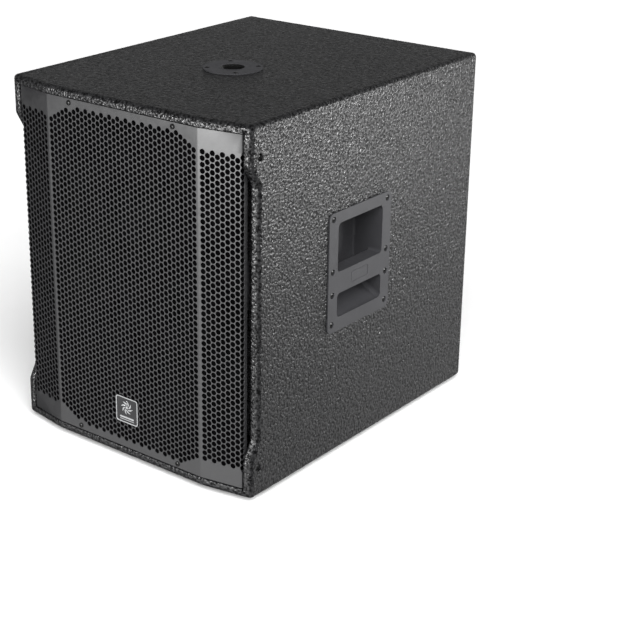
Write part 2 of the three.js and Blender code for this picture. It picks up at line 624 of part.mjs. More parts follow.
function inputPanel() {
  const at = (half, low, high) => box(-half, half, PANEL_BACK, PANEL_FRONT, AMP_Z + low, AMP_Z + high);
  const through = (radius, x, z) => rod(radius, x, AMP_Z + z, PANEL_BACK - 2, PANEL_FRONT + 2, 20);
  const slot = (x0, x1, z0, z1) => box(x0, x1, PANEL_BACK - 2, PANEL_FRONT + 2, AMP_Z + z0, AMP_Z + z1);
  const { travel } = SLIDER;
  place('input_panel', cut(at(62, 103, 177), [
    through(COMBO.tube + GAP, COMBO.x, COMBO.z),
    through(XLR.tube + GAP, XLR.x, XLR.z),
    through(KNOB.shaft + GAP, KNOB.x, KNOB.z),
    ...LEDS.heights.map((z) => through(LEDS.radius + GAP, LEDS.x, z)),
    slot(SLIDER.x - SLIDER.half - GAP, SLIDER.x + SLIDER.half + travel + GAP,
      SLIDER.z - SLIDER.halfHeight - GAP, SLIDER.z + SLIDER.halfHeight + GAP),
    slot(BUTTON.x - BUTTON.half - GAP, BUTTON.x + BUTTON.half + GAP,
      BUTTON.z - BUTTON.halfHeight - GAP, BUTTON.z + BUTTON.halfHeight + GAP),
  ]), BLACK_STEEL);
}

function powerPanel() {
  const slot = (x0, x1, z0, z1) => box(x0, x1, PANEL_BACK - 2, PANEL_FRONT + 2, AMP_Z + z0, AMP_Z + z1);
  const sleeve = ROCKER.openHalf + ROCKER.wall;
  const sleeveHeight = ROCKER.openHalfHeight + ROCKER.wall;
  place('power_panel', cut(box(-64, 64, PANEL_BACK, PANEL_FRONT, AMP_Z - 176, AMP_Z - 122), [
    slot(ROCKER.x - sleeve - GAP, ROCKER.x + sleeve + GAP,
      ROCKER.z - sleeveHeight - GAP, ROCKER.z + sleeveHeight + GAP),
    slot(INLET.x - INLET.bodyHalf - GAP, INLET.x + INLET.bodyHalf + GAP,
      INLET.bottom + 1.5 - GAP, INLET.top - 1.5 + GAP),
  ]), BLACK_STEEL);
}

function comboJack() {
  const face = CONNECTOR_FACE + 2.5;
  const profile = [
    [0, 280], [COMBO.tube, 280], [COMBO.tube, CONNECTOR_FACE], [COMBO.flange, CONNECTOR_FACE],
    [COMBO.flange, face - 0.6], [COMBO.flange - 0.8, face], [COMBO.bore, face], [COMBO.bore, 284], [0, 284],
  ];
  const latchWay = box(COMBO.x - 3, COMBO.x + 3, CONNECTOR_FACE + 0.8, face + 2,
    AMP_Z + COMBO.z + 8, AMP_Z + COMBO.z + 14);
  place('combo_jack', cut(turnedY(profile, COMBO.x, AMP_Z + COMBO.z, 24), [latchWay]), BLACK_PLASTIC);
  place('combo_latch', box(COMBO.x - 2.6, COMBO.x + 2.6, CONNECTOR_FACE + 1.2, face + 1.4,
    AMP_Z + COMBO.z + 9.2, AMP_Z + COMBO.z + 13.2), ZINC);
}

function xlrOutput() {
  const face = CONNECTOR_FACE + 2.5;
  const shell = turnedY([
    [0, 286], [XLR.tube, 286], [XLR.tube, CONNECTOR_FACE], [XLR.flange, CONNECTOR_FACE],
    [XLR.flange, face], [XLR.bore, face], [XLR.bore, 290], [0, 290],
  ], XLR.x, AMP_Z + XLR.z, 20);
  const pins = [90, 210, 330].map((degrees) => {
    const angle = THREE.MathUtils.degToRad(degrees);
    return rod(XLR.pin, XLR.x + XLR.pinRing * Math.cos(angle),
      AMP_Z + XLR.z + XLR.pinRing * Math.sin(angle), 289, 304, 8);
  });
  place('xlr_output', union([shell, ...pins]), SILVER);
}

function controls() {
  const knobBack = CONNECTOR_FACE + 0.5;
  place('volume_knob', turnedY([
    [0, 298], [KNOB.shaft, 298], [KNOB.shaft, knobBack], [KNOB.radius, knobBack],
    [KNOB.radius - 0.7, knobBack + 9], [KNOB.radius - 1.6, knobBack + 10], [0, knobBack + 10],
  ], KNOB.x, AMP_Z + KNOB.z, 20), BLACK_PLASTIC);
  place('mode_switch', box(SLIDER.x - SLIDER.half, SLIDER.x + SLIDER.half, 303, PANEL_FRONT + 3,
    AMP_Z + SLIDER.z - SLIDER.halfHeight, AMP_Z + SLIDER.z + SLIDER.halfHeight), BLACK_PLASTIC);
  place('filter_button', box(BUTTON.x - BUTTON.half, BUTTON.x + BUTTON.half, 302, PANEL_FRONT + 3,
    AMP_Z + BUTTON.z - BUTTON.halfHeight, AMP_Z + BUTTON.z + BUTTON.halfHeight), WHITE_PLASTIC);
  const guide = box(LEDS.x - 2, LEDS.x + 2, 303, PANEL_BACK - GAP, AMP_Z + 126, AMP_Z + 142);
  const domes = LEDS.heights.map((z) => turnedY([
    [0, 304], [LEDS.radius, 304], [LEDS.radius, PANEL_FRONT + 0.6], [0, PANEL_FRONT + 1.6],
  ], LEDS.x, AMP_Z + z, 10));
  place('status_leds', union([guide, ...domes]), WHITE_PLASTIC);
}

function powerRocker() {
  const { x, z, half, halfHeight, openHalf, openHalfHeight } = ROCKER;
  const sleeve = openHalf + ROCKER.wall;
  const sleeveHeight = openHalfHeight + ROCKER.wall;
  const around = (w, h, y0, y1) => box(x - w, x + w, y0, y1, AMP_Z + z - h, AMP_Z + z + h);
  const bezel = joined([
    around(half, halfHeight, CONNECTOR_FACE, CONNECTOR_FACE + 2),
    around(sleeve, sleeveHeight, ROCKER.back, CONNECTOR_FACE + 1),
  ]).subtract(solid(around(openHalf, openHalfHeight, ROCKER.back + 2, CONNECTOR_FACE + OVERRUN)));
  place('rocker_bezel', geometryOf(bezel), BLACK_PLASTIC);
  const pivot = CONNECTOR_FACE - 0.5;
  const lever = prismZ(ROCKER.lever, -openHalfHeight + GAP, openHalfHeight - GAP);
  lever.rotateZ(THREE.MathUtils.degToRad(ROCKER.tilt)).translate(x, pivot, AMP_Z + z);
  place('power_rocker', lever, BLACK_PLASTIC);
}

function mainsInlet() {
  const { x } = INLET;
  const at = (half, y0, y1, low, high) => box(x - half, x + half, y0, y1, AMP_Z + low, AMP_Z + high);
  const flange = at(INLET.half, CONNECTOR_FACE, CONNECTOR_FACE + 2.5, INLET.bottom, INLET.top);
  const body = at(INLET.bodyHalf, 284, CONNECTOR_FACE + 1, INLET.bottom + 1.5, INLET.top - 1.5);
  const socket = at(SOCKET.half, SOCKET.floor, CONNECTOR_FACE + 5, SOCKET.bottom, SOCKET.top);
  const slot = at(DRAWER.half + GAP, 287, CONNECTOR_FACE + 5, DRAWER.bottom - GAP, DRAWER.top + GAP);
  const pins = [[0, -152.6], [-7, -158.6], [7, -158.6]].map(([dx, z]) =>
    box(x + dx - 1, x + dx + 1, SOCKET.floor - 1, 304.5, AMP_Z + z - 2, AMP_Z + z + 2));
  const shell = joined([flange, body]).subtract(joined([socket, slot]));
  place('iec_inlet', geometryOf(shell.add(joined(pins))), BLACK_PLASTIC);
  place('fuse_drawer', union([
    at(DRAWER.half, 289, CONNECTOR_FACE + 3.5, DRAWER.bottom, DRAWER.top),
    at(DRAWER.cap, CONNECTOR_FACE + 2.8, CONNECTOR_FACE + 4.5, DRAWER.capBottom, DRAWER.capTop),
  ]), HANDLE_PLASTIC);
}

// Inside the box: a tray that seals the amplifier off, its board and its power supply.
function ampInside() {
  const { wall, half, halfHeight, back } = TRAY;
  const mouth = PANEL_BACK - GAP;
  const tray = ampBox(half, back, mouth, -halfHeight, halfHeight);
  const inside = ampBox(half - wall, back + wall, mouth + OVERRUN, wall - halfHeight, halfHeight - wall);
  place('amp_tray', cut(tray, [inside]), ZINC);
  const board = ampBox(BOARD.half, BOARD.y0, BOARD.y1, -BOARD.halfHeight, BOARD.halfHeight);
  place('amp_board', board, CIRCUIT_BOARD);
  place('power_supply', ampBox(SUPPLY.half, SUPPLY.y0, SUPPLY.y1, SUPPLY.low, SUPPLY.high), AMP_BLACK);
}

// The woofer lead, clipped along the shelf and the brace from the amplifier to the woofer.
function speakerCable() {
  const route = new THREE.CatmullRomCurve3([
    [40, 224.5, 215], [40, 200, 214], [46, 140, 200], [60, 80, 192], [60, 0, 188],
    [40, -60, 205], [8, -112, 246], [6, -142.6, WOOFER_Z - 121],
  ].map(([x, y, z]) => new THREE.Vector3(x, y, z)));
  const section = new THREE.Shape().absarc(0, 0, CABLE_R, 0, 2 * Math.PI);
  const cable = new THREE.ExtrudeGeometry(section, { steps: 24, extrudePath: route, curveSegments: 4 });
  place('speaker_cable', cable, CABLE_JACKET);
}

// ---------------------------------------------------------------- assembly

topPanel();
bottomPanel();
sidePanel('left_side_panel', -1);
sidePanel('right_side_panel', 1);
rearPanel();
frontBaffle();
portParts();
windowBrace();
feet();
grille();
grilleBattens();
grilleScrews();
cornerBlocks();
badge();
poleSocket();
handle('handle_left', -1);
handle('handle_right', 1);
wooferBasket();
surround();
movingParts();
spider();
motor();
ampPlate();
ampGasket();
inputPanel();
powerPanel();
comboJack();
xlrOutput();
controls();
powerRocker();
mainsInlet();
ampInside();
speakerCable();

export default group;
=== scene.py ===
"""Powered subwoofer cabinet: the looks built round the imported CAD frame.

Sizes are millimetres in the row frame: +Z up, the grille faces -Y, the amplifier faces +Y.
"""

import json
import math

import bmesh
import bpy
from mathutils import Matrix, Vector, geometry, kdtree


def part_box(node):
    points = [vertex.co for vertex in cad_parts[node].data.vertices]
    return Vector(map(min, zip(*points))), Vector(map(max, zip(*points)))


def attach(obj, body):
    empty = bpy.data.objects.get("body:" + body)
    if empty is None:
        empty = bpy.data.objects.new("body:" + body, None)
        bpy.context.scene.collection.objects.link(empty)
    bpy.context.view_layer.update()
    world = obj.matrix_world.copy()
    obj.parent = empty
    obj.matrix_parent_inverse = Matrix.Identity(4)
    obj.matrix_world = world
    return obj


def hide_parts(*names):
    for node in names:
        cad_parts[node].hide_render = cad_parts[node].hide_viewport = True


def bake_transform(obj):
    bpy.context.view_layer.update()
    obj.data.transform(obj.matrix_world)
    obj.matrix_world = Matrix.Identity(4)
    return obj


MM = 0.001

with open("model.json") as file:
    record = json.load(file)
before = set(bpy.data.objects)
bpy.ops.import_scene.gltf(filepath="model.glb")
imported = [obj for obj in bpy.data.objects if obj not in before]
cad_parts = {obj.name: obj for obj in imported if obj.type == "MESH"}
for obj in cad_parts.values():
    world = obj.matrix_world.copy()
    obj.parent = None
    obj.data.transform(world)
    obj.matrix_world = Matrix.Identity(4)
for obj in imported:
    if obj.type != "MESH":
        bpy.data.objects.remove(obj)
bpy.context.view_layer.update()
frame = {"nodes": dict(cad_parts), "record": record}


def cad(node):
    """Lowest and highest corner of a CAD node, in millimetres."""
    low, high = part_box(node)
    return low / MM, high / MM


def centre_of(node):
    low, high = cad(node)
    return (low + high) / 2


# ---------------------------------------------------------------- places taken from the frame

BOX_LOW = Vector((cad("left_side_panel")[0].x, cad("top_panel")[0].y, cad("left_side_panel")[0].z))
BOX_HIGH = Vector((-BOX_LOW.x, cad("rear_panel")[1].y, cad("left_side_panel")[1].z))
HALF_WIDTH = BOX_HIGH.x
FRONT = BOX_LOW.y
BACK = BOX_HIGH.y
BASE = BOX_LOW.z
TOP = BOX_HIGH.z
SIDE_INNER = cad("right_side_panel")[0].x
LID_INNER = cad("top_panel")[0].z
FLOOR_INNER = cad("bottom_panel")[1].z
REAR_INNER = cad("rear_panel")[0].y
PANEL_EDGE_FRONT = cad("right_side_panel")[0].y

FOLD_X = 168
FOLD_SLOPE = (PANEL_EDGE_FRONT - FRONT) / (SIDE_INNER - FOLD_X)
NOTCH_DEPTH = 18
NOTCH_START = 66
NOTCH_FLAT = 98

AMP_LOW, AMP_HIGH = cad("amp_plate")
AMP_Z = centre_of("amp_plate").z
AMP_BODY_HALF, AMP_BODY_REACH = 66, 178
WOOFER_Z = centre_of("woofer_basket").z


# ---------------------------------------------------------------- mesh helpers


def shown(name, data):
    """A new object in the scene."""
    obj = bpy.data.objects.new(name, data)
    bpy.context.scene.collection.objects.link(obj)
    return obj


def new_object(name, points, faces, finish):
    """A mesh object from points in millimetres, its faces turned outwards, in a finish of MATERIALS."""
    mesh = bpy.data.meshes.new(name)
    mesh.from_pydata([Vector(p) * MM for p in points], [], faces)
    mesh.materials.append(MATERIALS[finish])
    work = bmesh.new()
    work.from_mesh(mesh)
    bmesh.ops.recalc_face_normals(work, faces=work.faces)
    work.to_mesh(mesh)
    work.free()
    return shown(name, mesh)


def bridge(name, first, second, finish):
    """The solid between two outlines of the same number of points."""
    count = len(first)
    sides = [(i, (i + 1) % count, (i + 1) % count + count, i + count) for i in range(count)]
    ends = [tuple(range(count)), tuple(range(count, 2 * count))]
    return new_object(name, [*first, *second], [*ends, *sides], finish)


def placed(u, v, d, axis):
    """A point from two outline coordinates and one along an axis, in X, Y, Z order."""
    return {"X": (d, u, v), "Y": (u, d, v), "Z": (u, v, d)}[axis]


def prism(name, outline, low, high, axis, finish):
    """An outline pushed along an axis."""
    first, second = ([placed(u, v, d, axis) for u, v in outline] for d in (low, high))
    return bridge(name, first, second, finish)


def block(name, low, high, finish):
    """A box between two corners."""
    outline = [(low[0], low[1]), (high[0], low[1]), (high[0], high[1]), (low[0], high[1])]
    return prism(name, outline, low[2], high[2], "Z", finish)


def lathe(name, profile, centre, axis, finish, count=64):
    """A profile of (radius, place along the axis) turned about a line through centre."""
    points, rings = [], []
    for radius, d in profile:
        turns = 1 if radius == 0 else count
        rings.append(range(len(points), len(points) + turns))
        for i in range(turns):
            angle = 2 * math.pi * i / count
            u = centre[0] + radius * math.cos(angle)
            v = centre[1] + radius * math.sin(angle)
            points.append(placed(u, v, d, axis))
    closed = profile[0][0] > 0 and profile[-1][0] > 0
    pairs = list(zip(rings, rings[1:] + rings[:1])) if closed else list(zip(rings, rings[1:]))
    faces = []
    for a, b in pairs:
        for i in range(count):
            j = (i + 1) % count
            corners = [a[i % len(a)], a[j % len(a)], b[j % len(b)], b[i % len(b)]]
            faces.append(tuple(dict.fromkeys(corners)))
    return new_object(name, points, faces, finish)


def hole_cutter(at, axis, bottom, mouth, radius, wide=None, count=28):
    """What a round hole takes away: its radius at the bottom, and another at the mouth if it flares."""
    profile = [(0, bottom), (radius, bottom), (wide or radius, mouth), (0, mouth)]
    return lathe("hole", profile, at, axis, COAT, count)


def arc(centre, radius, start, end, steps):
    """Points on a circle between two angles in degrees, both ends included."""
    angles = [math.radians(start + (end - start) * i / steps) for i in range(steps + 1)]
    return [(centre[0] + radius * math.cos(a), centre[1] + radius * math.sin(a)) for a in angles]


def rounded_rectangle(low, high, radii, steps=5):
    """An outline with its own radius at each corner, from the low-low corner counterclockwise."""
    r0, r1, r2, r3 = radii if isinstance(radii, (list, tuple)) else (radii,) * 4
    (u0, v0), (u1, v1) = low, high
    return [
        *arc((u0 + r0, v0 + r0), r0, 180, 270, steps),
        *arc((u1 - r1, v0 + r1), r1, 270, 360, steps),
        *arc((u1 - r2, v1 - r2), r2, 0, 90, steps),
        *arc((u0 + r3, v1 - r3), r3, 90, 180, steps),
    ]


def bake(obj):
    """Turns the modifiers into mesh."""
    depsgraph = bpy.context.evaluated_depsgraph_get()
    mesh = bpy.data.meshes.new_from_object(obj.evaluated_get(depsgraph))
    obj.modifiers.clear()
    obj.data = mesh
    return obj


def carve(obj, cutters, operation="DIFFERENCE"):
    """Cuts the cutters out of obj, or joins them to it, and removes them."""
    for cutter in cutters:
        modifier = obj.modifiers.new("Cut", "BOOLEAN")
        modifier.operation = operation
        modifier.solver = "EXACT"
        modifier.object = cutter
    bake(obj)
    for cutter in cutters:
        bpy.data.objects.remove(cutter)
    return sealed(obj)


def sealed(obj):
    """Welds corners that lie on one another and closes the gaps left between faces."""
    mesh = bmesh.new()
    mesh.from_mesh(obj.data)
    bmesh.ops.remove_doubles(mesh, verts=mesh.verts, dist=0.004 * MM)
    bmesh.ops.dissolve_degenerate(mesh, edges=mesh.edges, dist=0.004 * MM)
    open_edges = [e for e in mesh.edges if len(e.link_faces) == 1]
    if open_edges:
        bmesh.ops.holes_fill(mesh, edges=open_edges, sides=0)
    mesh.to_mesh(obj.data)
    mesh.free()
    return obj


def rounded(obj, radius_of, segments=3):
    """Rounds each edge by the radius in millimetres that radius_of gives for its two ends."""
    mesh = obj.data
    places = [v.co / MM for v in mesh.vertices]
    radii = [radius_of(places[e.vertices[0]], places[e.vertices[1]]) for e in mesh.edges]
    largest = max(radii)
    weights = mesh.attributes.new("bevel_weight_edge", "FLOAT", "EDGE")
    weights.data.foreach_set("value", [r / largest for r in radii])
    modifier = obj.modifiers.new("Round", "BEVEL")
    modifier.width = largest * MM
    modifier.segments = segments
    modifier.limit_method = "WEIGHT"
    modifier.use_clamp_overlap = True
    return sealed(bake(obj))


def eased(obj, width, segments=2, angle=32):
    """Rounds every edge sharper than an angle in degrees by the same width."""
    modifier = obj.modifiers.new("Ease", "BEVEL")
    modifier.width = width * MM
    modifier.segments = segments
    modifier.limit_method = "ANGLE"
    modifier.angle_limit = math.radians(angle)
    modifier.use_clamp_overlap = True
    return bake(obj)


def shaded(obj, angle):
    """Smooth shading up to an angle in degrees."""
    obj.data.shade_smooth()
    obj.data.set_sharp_from_angle(angle=math.radians(angle))
    return obj


def smooth(obj, angle=38, flat_along=None):
    """Smooth shading with its flat faces kept flat, those square to one axis above all."""
    shaded(obj, angle)
    if flat_along is not None:
        for face in obj.data.polygons:
            face.use_smooth = abs(face.normal[flat_along]) < 0.9999
    modifier = obj.modifiers.new("Flat", "WEIGHTED_NORMAL")
    modifier.keep_sharp = True
    return bake(obj)


def joined(name, objects):
    """Several objects as one mesh."""
    with bpy.context.temp_override(active_object=objects[0], selected_editable_objects=objects):
        bpy.ops.object.join()
    objects[0].name = name
    return objects[0]


def copied(obj, matrix):
    """A copy of obj with its mesh moved by a matrix in millimetres."""
    copy = shown(obj.name, obj.data.copy())
    scale = Matrix.Scale(MM, 4)
    copy.data.transform(scale @ matrix @ scale.inverted())
    if matrix.determinant() < 0:
        copy.data.flip_normals()
    return copy


def mirrored(obj, name):
    """A copy of obj on the other side of the box."""
    copy = copied(obj, Matrix.Diagonal((-1, 1, 1, 1)))
    copy.name = name
    return copy


def finished(obj, slot, body="cabinet", nodes=()):
    """Hangs a piece on its body and hides the CAD nodes it stands for; the slot argument is not used."""
    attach(obj, body)
    if nodes:
        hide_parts(*nodes)
    return obj


# ---------------------------------------------------------------- materials


class Shader:
    """A procedural material: a Principled shader fed by textures in object space."""

    def __init__(self, name, colour, roughness, metallic=0.0, specular=0.5):
        self.material = bpy.data.materials.new(name)
        self.material.use_nodes = True
        self.nodes = self.material.node_tree.nodes
        self.surface = self.nodes["Principled BSDF"]
        self.colour = (*colour, 1.0)
        self.roughness = roughness
        self.surface.inputs["Base Color"].default_value = self.colour
        self.surface.inputs["Roughness"].default_value = roughness
        self.surface.inputs["Metallic"].default_value = metallic
        self.surface.inputs["Specular IOR Level"].default_value = specular
        self.place = self.nodes.new("ShaderNodeTexCoord").outputs["Object"]
        self.height = None

    def link(self, source, target):
        self.material.node_tree.links.new(source, target)

    def stretched(self, stretch):
        """Object coordinates scaled along each axis."""
        mapping = self.nodes.new("ShaderNodeMapping")
        mapping.inputs["Scale"].default_value = stretch
        self.link(self.place, mapping.inputs["Vector"])
        return mapping.outputs["Vector"]

    def texture(self, kind, size, detail=3.0, stretch=None):
        """A 0 to 1 pattern whose features are about size millimetres across."""
        node = self.nodes.new({"noise": "ShaderNodeTexNoise"}.get(kind, "ShaderNodeTexVoronoi"))
        self.link(self.stretched(stretch) if stretch else self.place, node.inputs["Vector"])
        node.inputs["Scale"].default_value = 1 / (size * MM)
        if kind == "noise":
            node.inputs["Detail"].default_value = detail
            return node.outputs["Fac"]
        if kind == "bumps":
            node.feature = "SMOOTH_F1"
            node.inputs["Smoothness"].default_value = 0.35
        if kind == "cracks":
            node.feature = "DISTANCE_TO_EDGE"
        return node.outputs["Distance"]

    def ranged(self, source, low, high, from_low=0.3, from_high=0.7):
        node = self.nodes.new("ShaderNodeMapRange")
        node.inputs["From Min"].default_value = from_low
        node.inputs["From Max"].default_value = from_high
        node.inputs["To Min"].default_value = low
        node.inputs["To Max"].default_value = high
        self.link(source, node.inputs["Value"])
        return node.outputs["Result"]

    def mixed(self, factor, low, high):
        node = self.nodes.new("ShaderNodeMix")
        node.data_type = "RGBA"
        self.link(factor, node.inputs["Factor"])
        for socket, value in (("A", low), ("B", high)):
            target = next(s for s in node.inputs if s.name == socket and s.type == "RGBA")
            if isinstance(value, tuple):
                target.default_value = value
            else:
                self.link(value, target)
        return next(s for s in node.outputs if s.type == "RGBA")

    def tinted(self, pattern, low, high, from_low=0.3, from_high=0.7):
        """Varies the colour between two shares of itself."""
        shades = [tuple(c * share for c in self.colour[:3]) + (1.0,) for share in (low, high)]
        colour = self.mixed(self.ranged(pattern, 0, 1, from_low, from_high), *shades)
        self.link(colour, self.surface.inputs["Base Color"])
        return self

    def polished(self, pattern, low, high, from_low=0.3, from_high=0.7):
        """Varies the roughness."""
        self.link(self.ranged(pattern, low, high, from_low, from_high), self.surface.inputs["Roughness"])
        return self

    def raised(self, pattern, height, strength=1.0):
        """Adds a bump of a height in millimetres."""
        bump = self.nodes.new("ShaderNodeBump")
        bump.inputs["Distance"].default_value = height * MM
        bump.inputs["Strength"].default_value = strength
        self.link(pattern, bump.inputs["Height"])
        if self.height:
            self.link(self.height, bump.inputs["Normal"])
        self.height = bump.outputs["Normal"]
        self.link(self.height, self.surface.inputs["Normal"])
        return self

    def edge_highlight(self, radius, colour, share):
        """Lightens sharp edges, where the surface turns within radius millimetres: a painted highlight along
        them.
        """
        bevel = self.nodes.new("ShaderNodeBevel")
        bevel.samples = 4
        bevel.inputs["Radius"].default_value = radius * MM
        geometry_node = self.nodes.new("ShaderNodeNewGeometry")
        dot = self.nodes.new("ShaderNodeVectorMath")
        dot.operation = "DOT_PRODUCT"
        self.link(bevel.outputs["Normal"], dot.inputs[0])
        self.link(geometry_node.outputs["Normal"], dot.inputs[1])
        edge = self.ranged(dot.outputs["Value"], share, 0, 0.75, 0.99)
        base = self.surface.inputs["Base Color"]
        below = base.links[0].from_socket if base.links else self.colour
        self.link(self.mixed(edge, below, (*colour, 1.0)), base)
        return self


def plain(name, colour, roughness, metallic=0.0, specular=0.5, grain=1.0, height=0.02, spread=0.06,
          tint=0.08):
    """A finish with fine grain, a slight cloudiness and uneven gloss."""
    s = Shader(name, colour, roughness, metallic, specular)
    s.tinted(s.texture("noise", 40), 1 - tint, 1 + tint)
    s.polished(s.texture("noise", 12), roughness - spread, roughness + spread)
    s.raised(s.texture("noise", grain, 4), height)
    return s


def coat_finish():
    """Sprayed black coat: close-set glossy grains, with painted shade in the pits between them."""
    s = Shader("textured_coat", (0.009, 0.009, 0.0095), 0.3, specular=1.0)
    grains = s.texture("noise", 4.4, 1.5)
    # Colour darker in the pits and lighter on the grains: painted shade following the relief.
    s.tinted(grains, 0.3, 1.7, 0.36, 0.6)
    # Reflection cut down in the pits: painted shade.
    pit_shade_tint = s.mixed(s.ranged(grains, 0, 1, 0.36, 0.62), (0.08, 0.08, 0.08, 1.0), (1.0, 1.0, 1.0, 1.0))
    s.link(pit_shade_tint, s.surface.inputs["Specular Tint"])
    s.polished(s.texture("noise", 7), 0.2, 0.42)
    s.raised(grains, 2.2)
    return s


def plywood_finish():
    """Birch plywood: long grain on the faces, with the layers showing through the thickness."""
    s = Shader("birch_plywood", (0.52, 0.36, 0.19), 0.62)
    s.tinted(s.texture("noise", 5, 6, (0.06, 1, 1)), 0.72, 1.12)
    s.polished(s.texture("noise", 9, 3, (0.1, 1, 1)), 0.5, 0.72)
    s.raised(s.texture("noise", 1.6, 4, (0.05, 1, 1)), 0.12)
    return s


def circuit_finish():
    """Solder mask with tracks and pads under it."""
    s = Shader("circuit_board", (0.02, 0.13, 0.05), 0.35)
    tracks = s.texture("cracks", 9)
    s.tinted(tracks, 1.7, 0.8, 0.02, 0.09)
    s.raised(s.ranged(tracks, 1, 0, 0.03, 0.08), 0.06)
    s.polished(s.texture("noise", 7), 0.28, 0.42)
    return s


def woven_finish(name, colour, size, height):
    """A weave of rounded thread bumps, darker where they dip: painted shade between the threads."""
    s = Shader(name, colour, 0.85)
    threads = s.texture("bumps", size)
    # Darker where the threads dip: painted shade.
    s.tinted(threads, 1.15, 0.7, 0.1, 0.7)
    s.polished(s.texture("noise", 8), 0.75, 0.95)
    s.raised(threads, -height)
    return s


def brushed_finish(name, colour, roughness, stretch=(1, 1, 0.05)):
    """Metal with fine lines along one axis."""
    s = Shader(name, colour, roughness, 1.0)
    lines = s.texture("noise", 0.8, 4, stretch)
    s.tinted(lines, 0.86, 1.1)
    s.polished(lines, roughness - 0.06, roughness + 0.1)
    s.raised(lines, 0.015)
    return s


FINISHES = {
    "coated_plywood": coat_finish(),
    "bare_plywood": plywood_finish(),
    # The grille's hole rims and sharp edges are lightened: painted highlight.
    "grille_steel": plain(
        "grille_powder_coat", (0.018, 0.018, 0.019), 0.34, specular=1.0, grain=0.7, height=0.015
    ).edge_highlight(0.5, (0.07, 0.07, 0.074), 0.7),
    "black_steel": plain("black_oxide", (0.006, 0.006, 0.006), 0.25, 0.0, grain=0.6, height=0.01),
    "foam": plain(
        "open_foam", (0.0016, 0.0016, 0.0017), 0.95, specular=0.0, grain=1.3, height=0.5, tint=0.4,
        spread=0.03,
    ),
    # Sharp edges lightened: painted highlight.
    "handle_plastic": plain("moulded_plastic", (0.036, 0.036, 0.039), 0.42, grain=0.5, height=0.03).edge_highlight(
        0.8, (0.09, 0.09, 0.095), 0.5
    ),
    "rubber": plain("rubber", (0.018, 0.018, 0.018), 0.78, grain=0.8, height=0.03, tint=0.2),
    "basket_casting": plain("coated_casting", (0.045, 0.045, 0.048), 0.5, 0.4, grain=1.4, height=0.08),
    "plated_steel": brushed_finish("zinc_plate", (0.55, 0.56, 0.58), 0.3),
    "ferrite": plain("ferrite", (0.035, 0.035, 0.038), 0.7, grain=1.2, height=0.06, tint=0.25),
    "cone_paper": woven_finish("pressed_paper", (0.02, 0.02, 0.021), 1.6, 0.25),
    "coil_copper": brushed_finish("copper_wire", (0.75, 0.36, 0.18), 0.32, (1, 12, 1)),
    "spider_cloth": woven_finish("spider_cloth", (0.5, 0.32, 0.11), 1.1, 0.3),
    # Sharp edges lightened: painted highlight.
    "amp_casting": plain("cast_powder_coat", (0.022, 0.022, 0.023), 0.4, grain=0.9, height=0.05).edge_highlight(
        0.7, (0.06, 0.06, 0.062), 0.6
    ),
    "panel_steel": plain("panel_paint", (0.016, 0.016, 0.017), 0.42, grain=0.6, height=0.012),
    "black_plastic": plain("black_plastic", (0.016, 0.016, 0.017), 0.38, grain=0.5, height=0.015, tint=0.15),
    "white_plastic": plain("white_plastic", (0.78, 0.78, 0.76), 0.35, grain=0.8, height=0.01, tint=0.03),
    "silver_metal": brushed_finish("satin_silver", (0.78, 0.79, 0.8), 0.24, (0.05, 1, 1)),
    "circuit_board": circuit_finish(),
    "supply_block": brushed_finish("anodised_case", (0.06, 0.06, 0.065), 0.4),
    "cable_jacket": plain("cable_jacket", (0.22, 0.025, 0.02), 0.5, grain=0.9, height=0.03),
}
MATERIALS = {slot: shader.material for slot, shader in FINISHES.items()}
COAT = "coated_plywood"

for part in frame["record"]["subparts"]:
    data = frame["nodes"][part["node"]].data
    data.materials.clear()
    data.materials.append(MATERIALS[part["material_slot"]])


# ---------------------------------------------------------------- the coated box


EDGE_RADIUS = 8


def front_at(x):
    return FRONT + max(0, abs(x) - FOLD_X) * FOLD_SLOPE


def lid_outline():
    """The lids' outline from above: straight across the middle, then falling back on both sides."""
    fold_reach = 13
    turn = math.atan(FOLD_SLOPE)
    radius = fold_reach / math.tan(turn / 2)
    bend = arc((FOLD_X - fold_reach, FRONT + radius), radius, -90, -90 + math.degrees(turn), 6)
    right = [*bend, (SIDE_INNER, front_at(SIDE_INNER)), (SIDE_INNER, BACK)]
    return [*right, *[(-x, y) for x, y in reversed(right)]]


def near(value, *targets):
    return any(abs(value - t) < 0.05 for t in targets)


def lid(name, low, high, outer, inner):
    """A lid with its outer edges rounded more than the ones that face the grille."""
    panel = prism(name, lid_outline(), low, high, "Z", COAT)

    def radius_of(a, b):
        if not near(a.z, b.z) or near(a.x, SIDE_INNER, -SIDE_INNER) and near(b.x, a.x):
            return 0
        if near(a.z, outer):
            return EDGE_RADIUS
        return 2 if near(a.z, inner) and a.y < 0 else 0

    return rounded(panel, radius_of)


def side_outline():
    """Corners of a side panel as (y at its inner face, z), from the bottom back corner."""
    front = PANEL_EDGE_FRONT
    back = front + NOTCH_DEPTH
    return [
        (BACK, BASE), (front, BASE), (front, FLOOR_INNER), (front, BASE + NOTCH_START),
        (back, BASE + NOTCH_FLAT), (back, TOP - NOTCH_FLAT), (front, TOP - NOTCH_START),
        (front, LID_INNER), (front, TOP), (BACK, TOP),
    ]


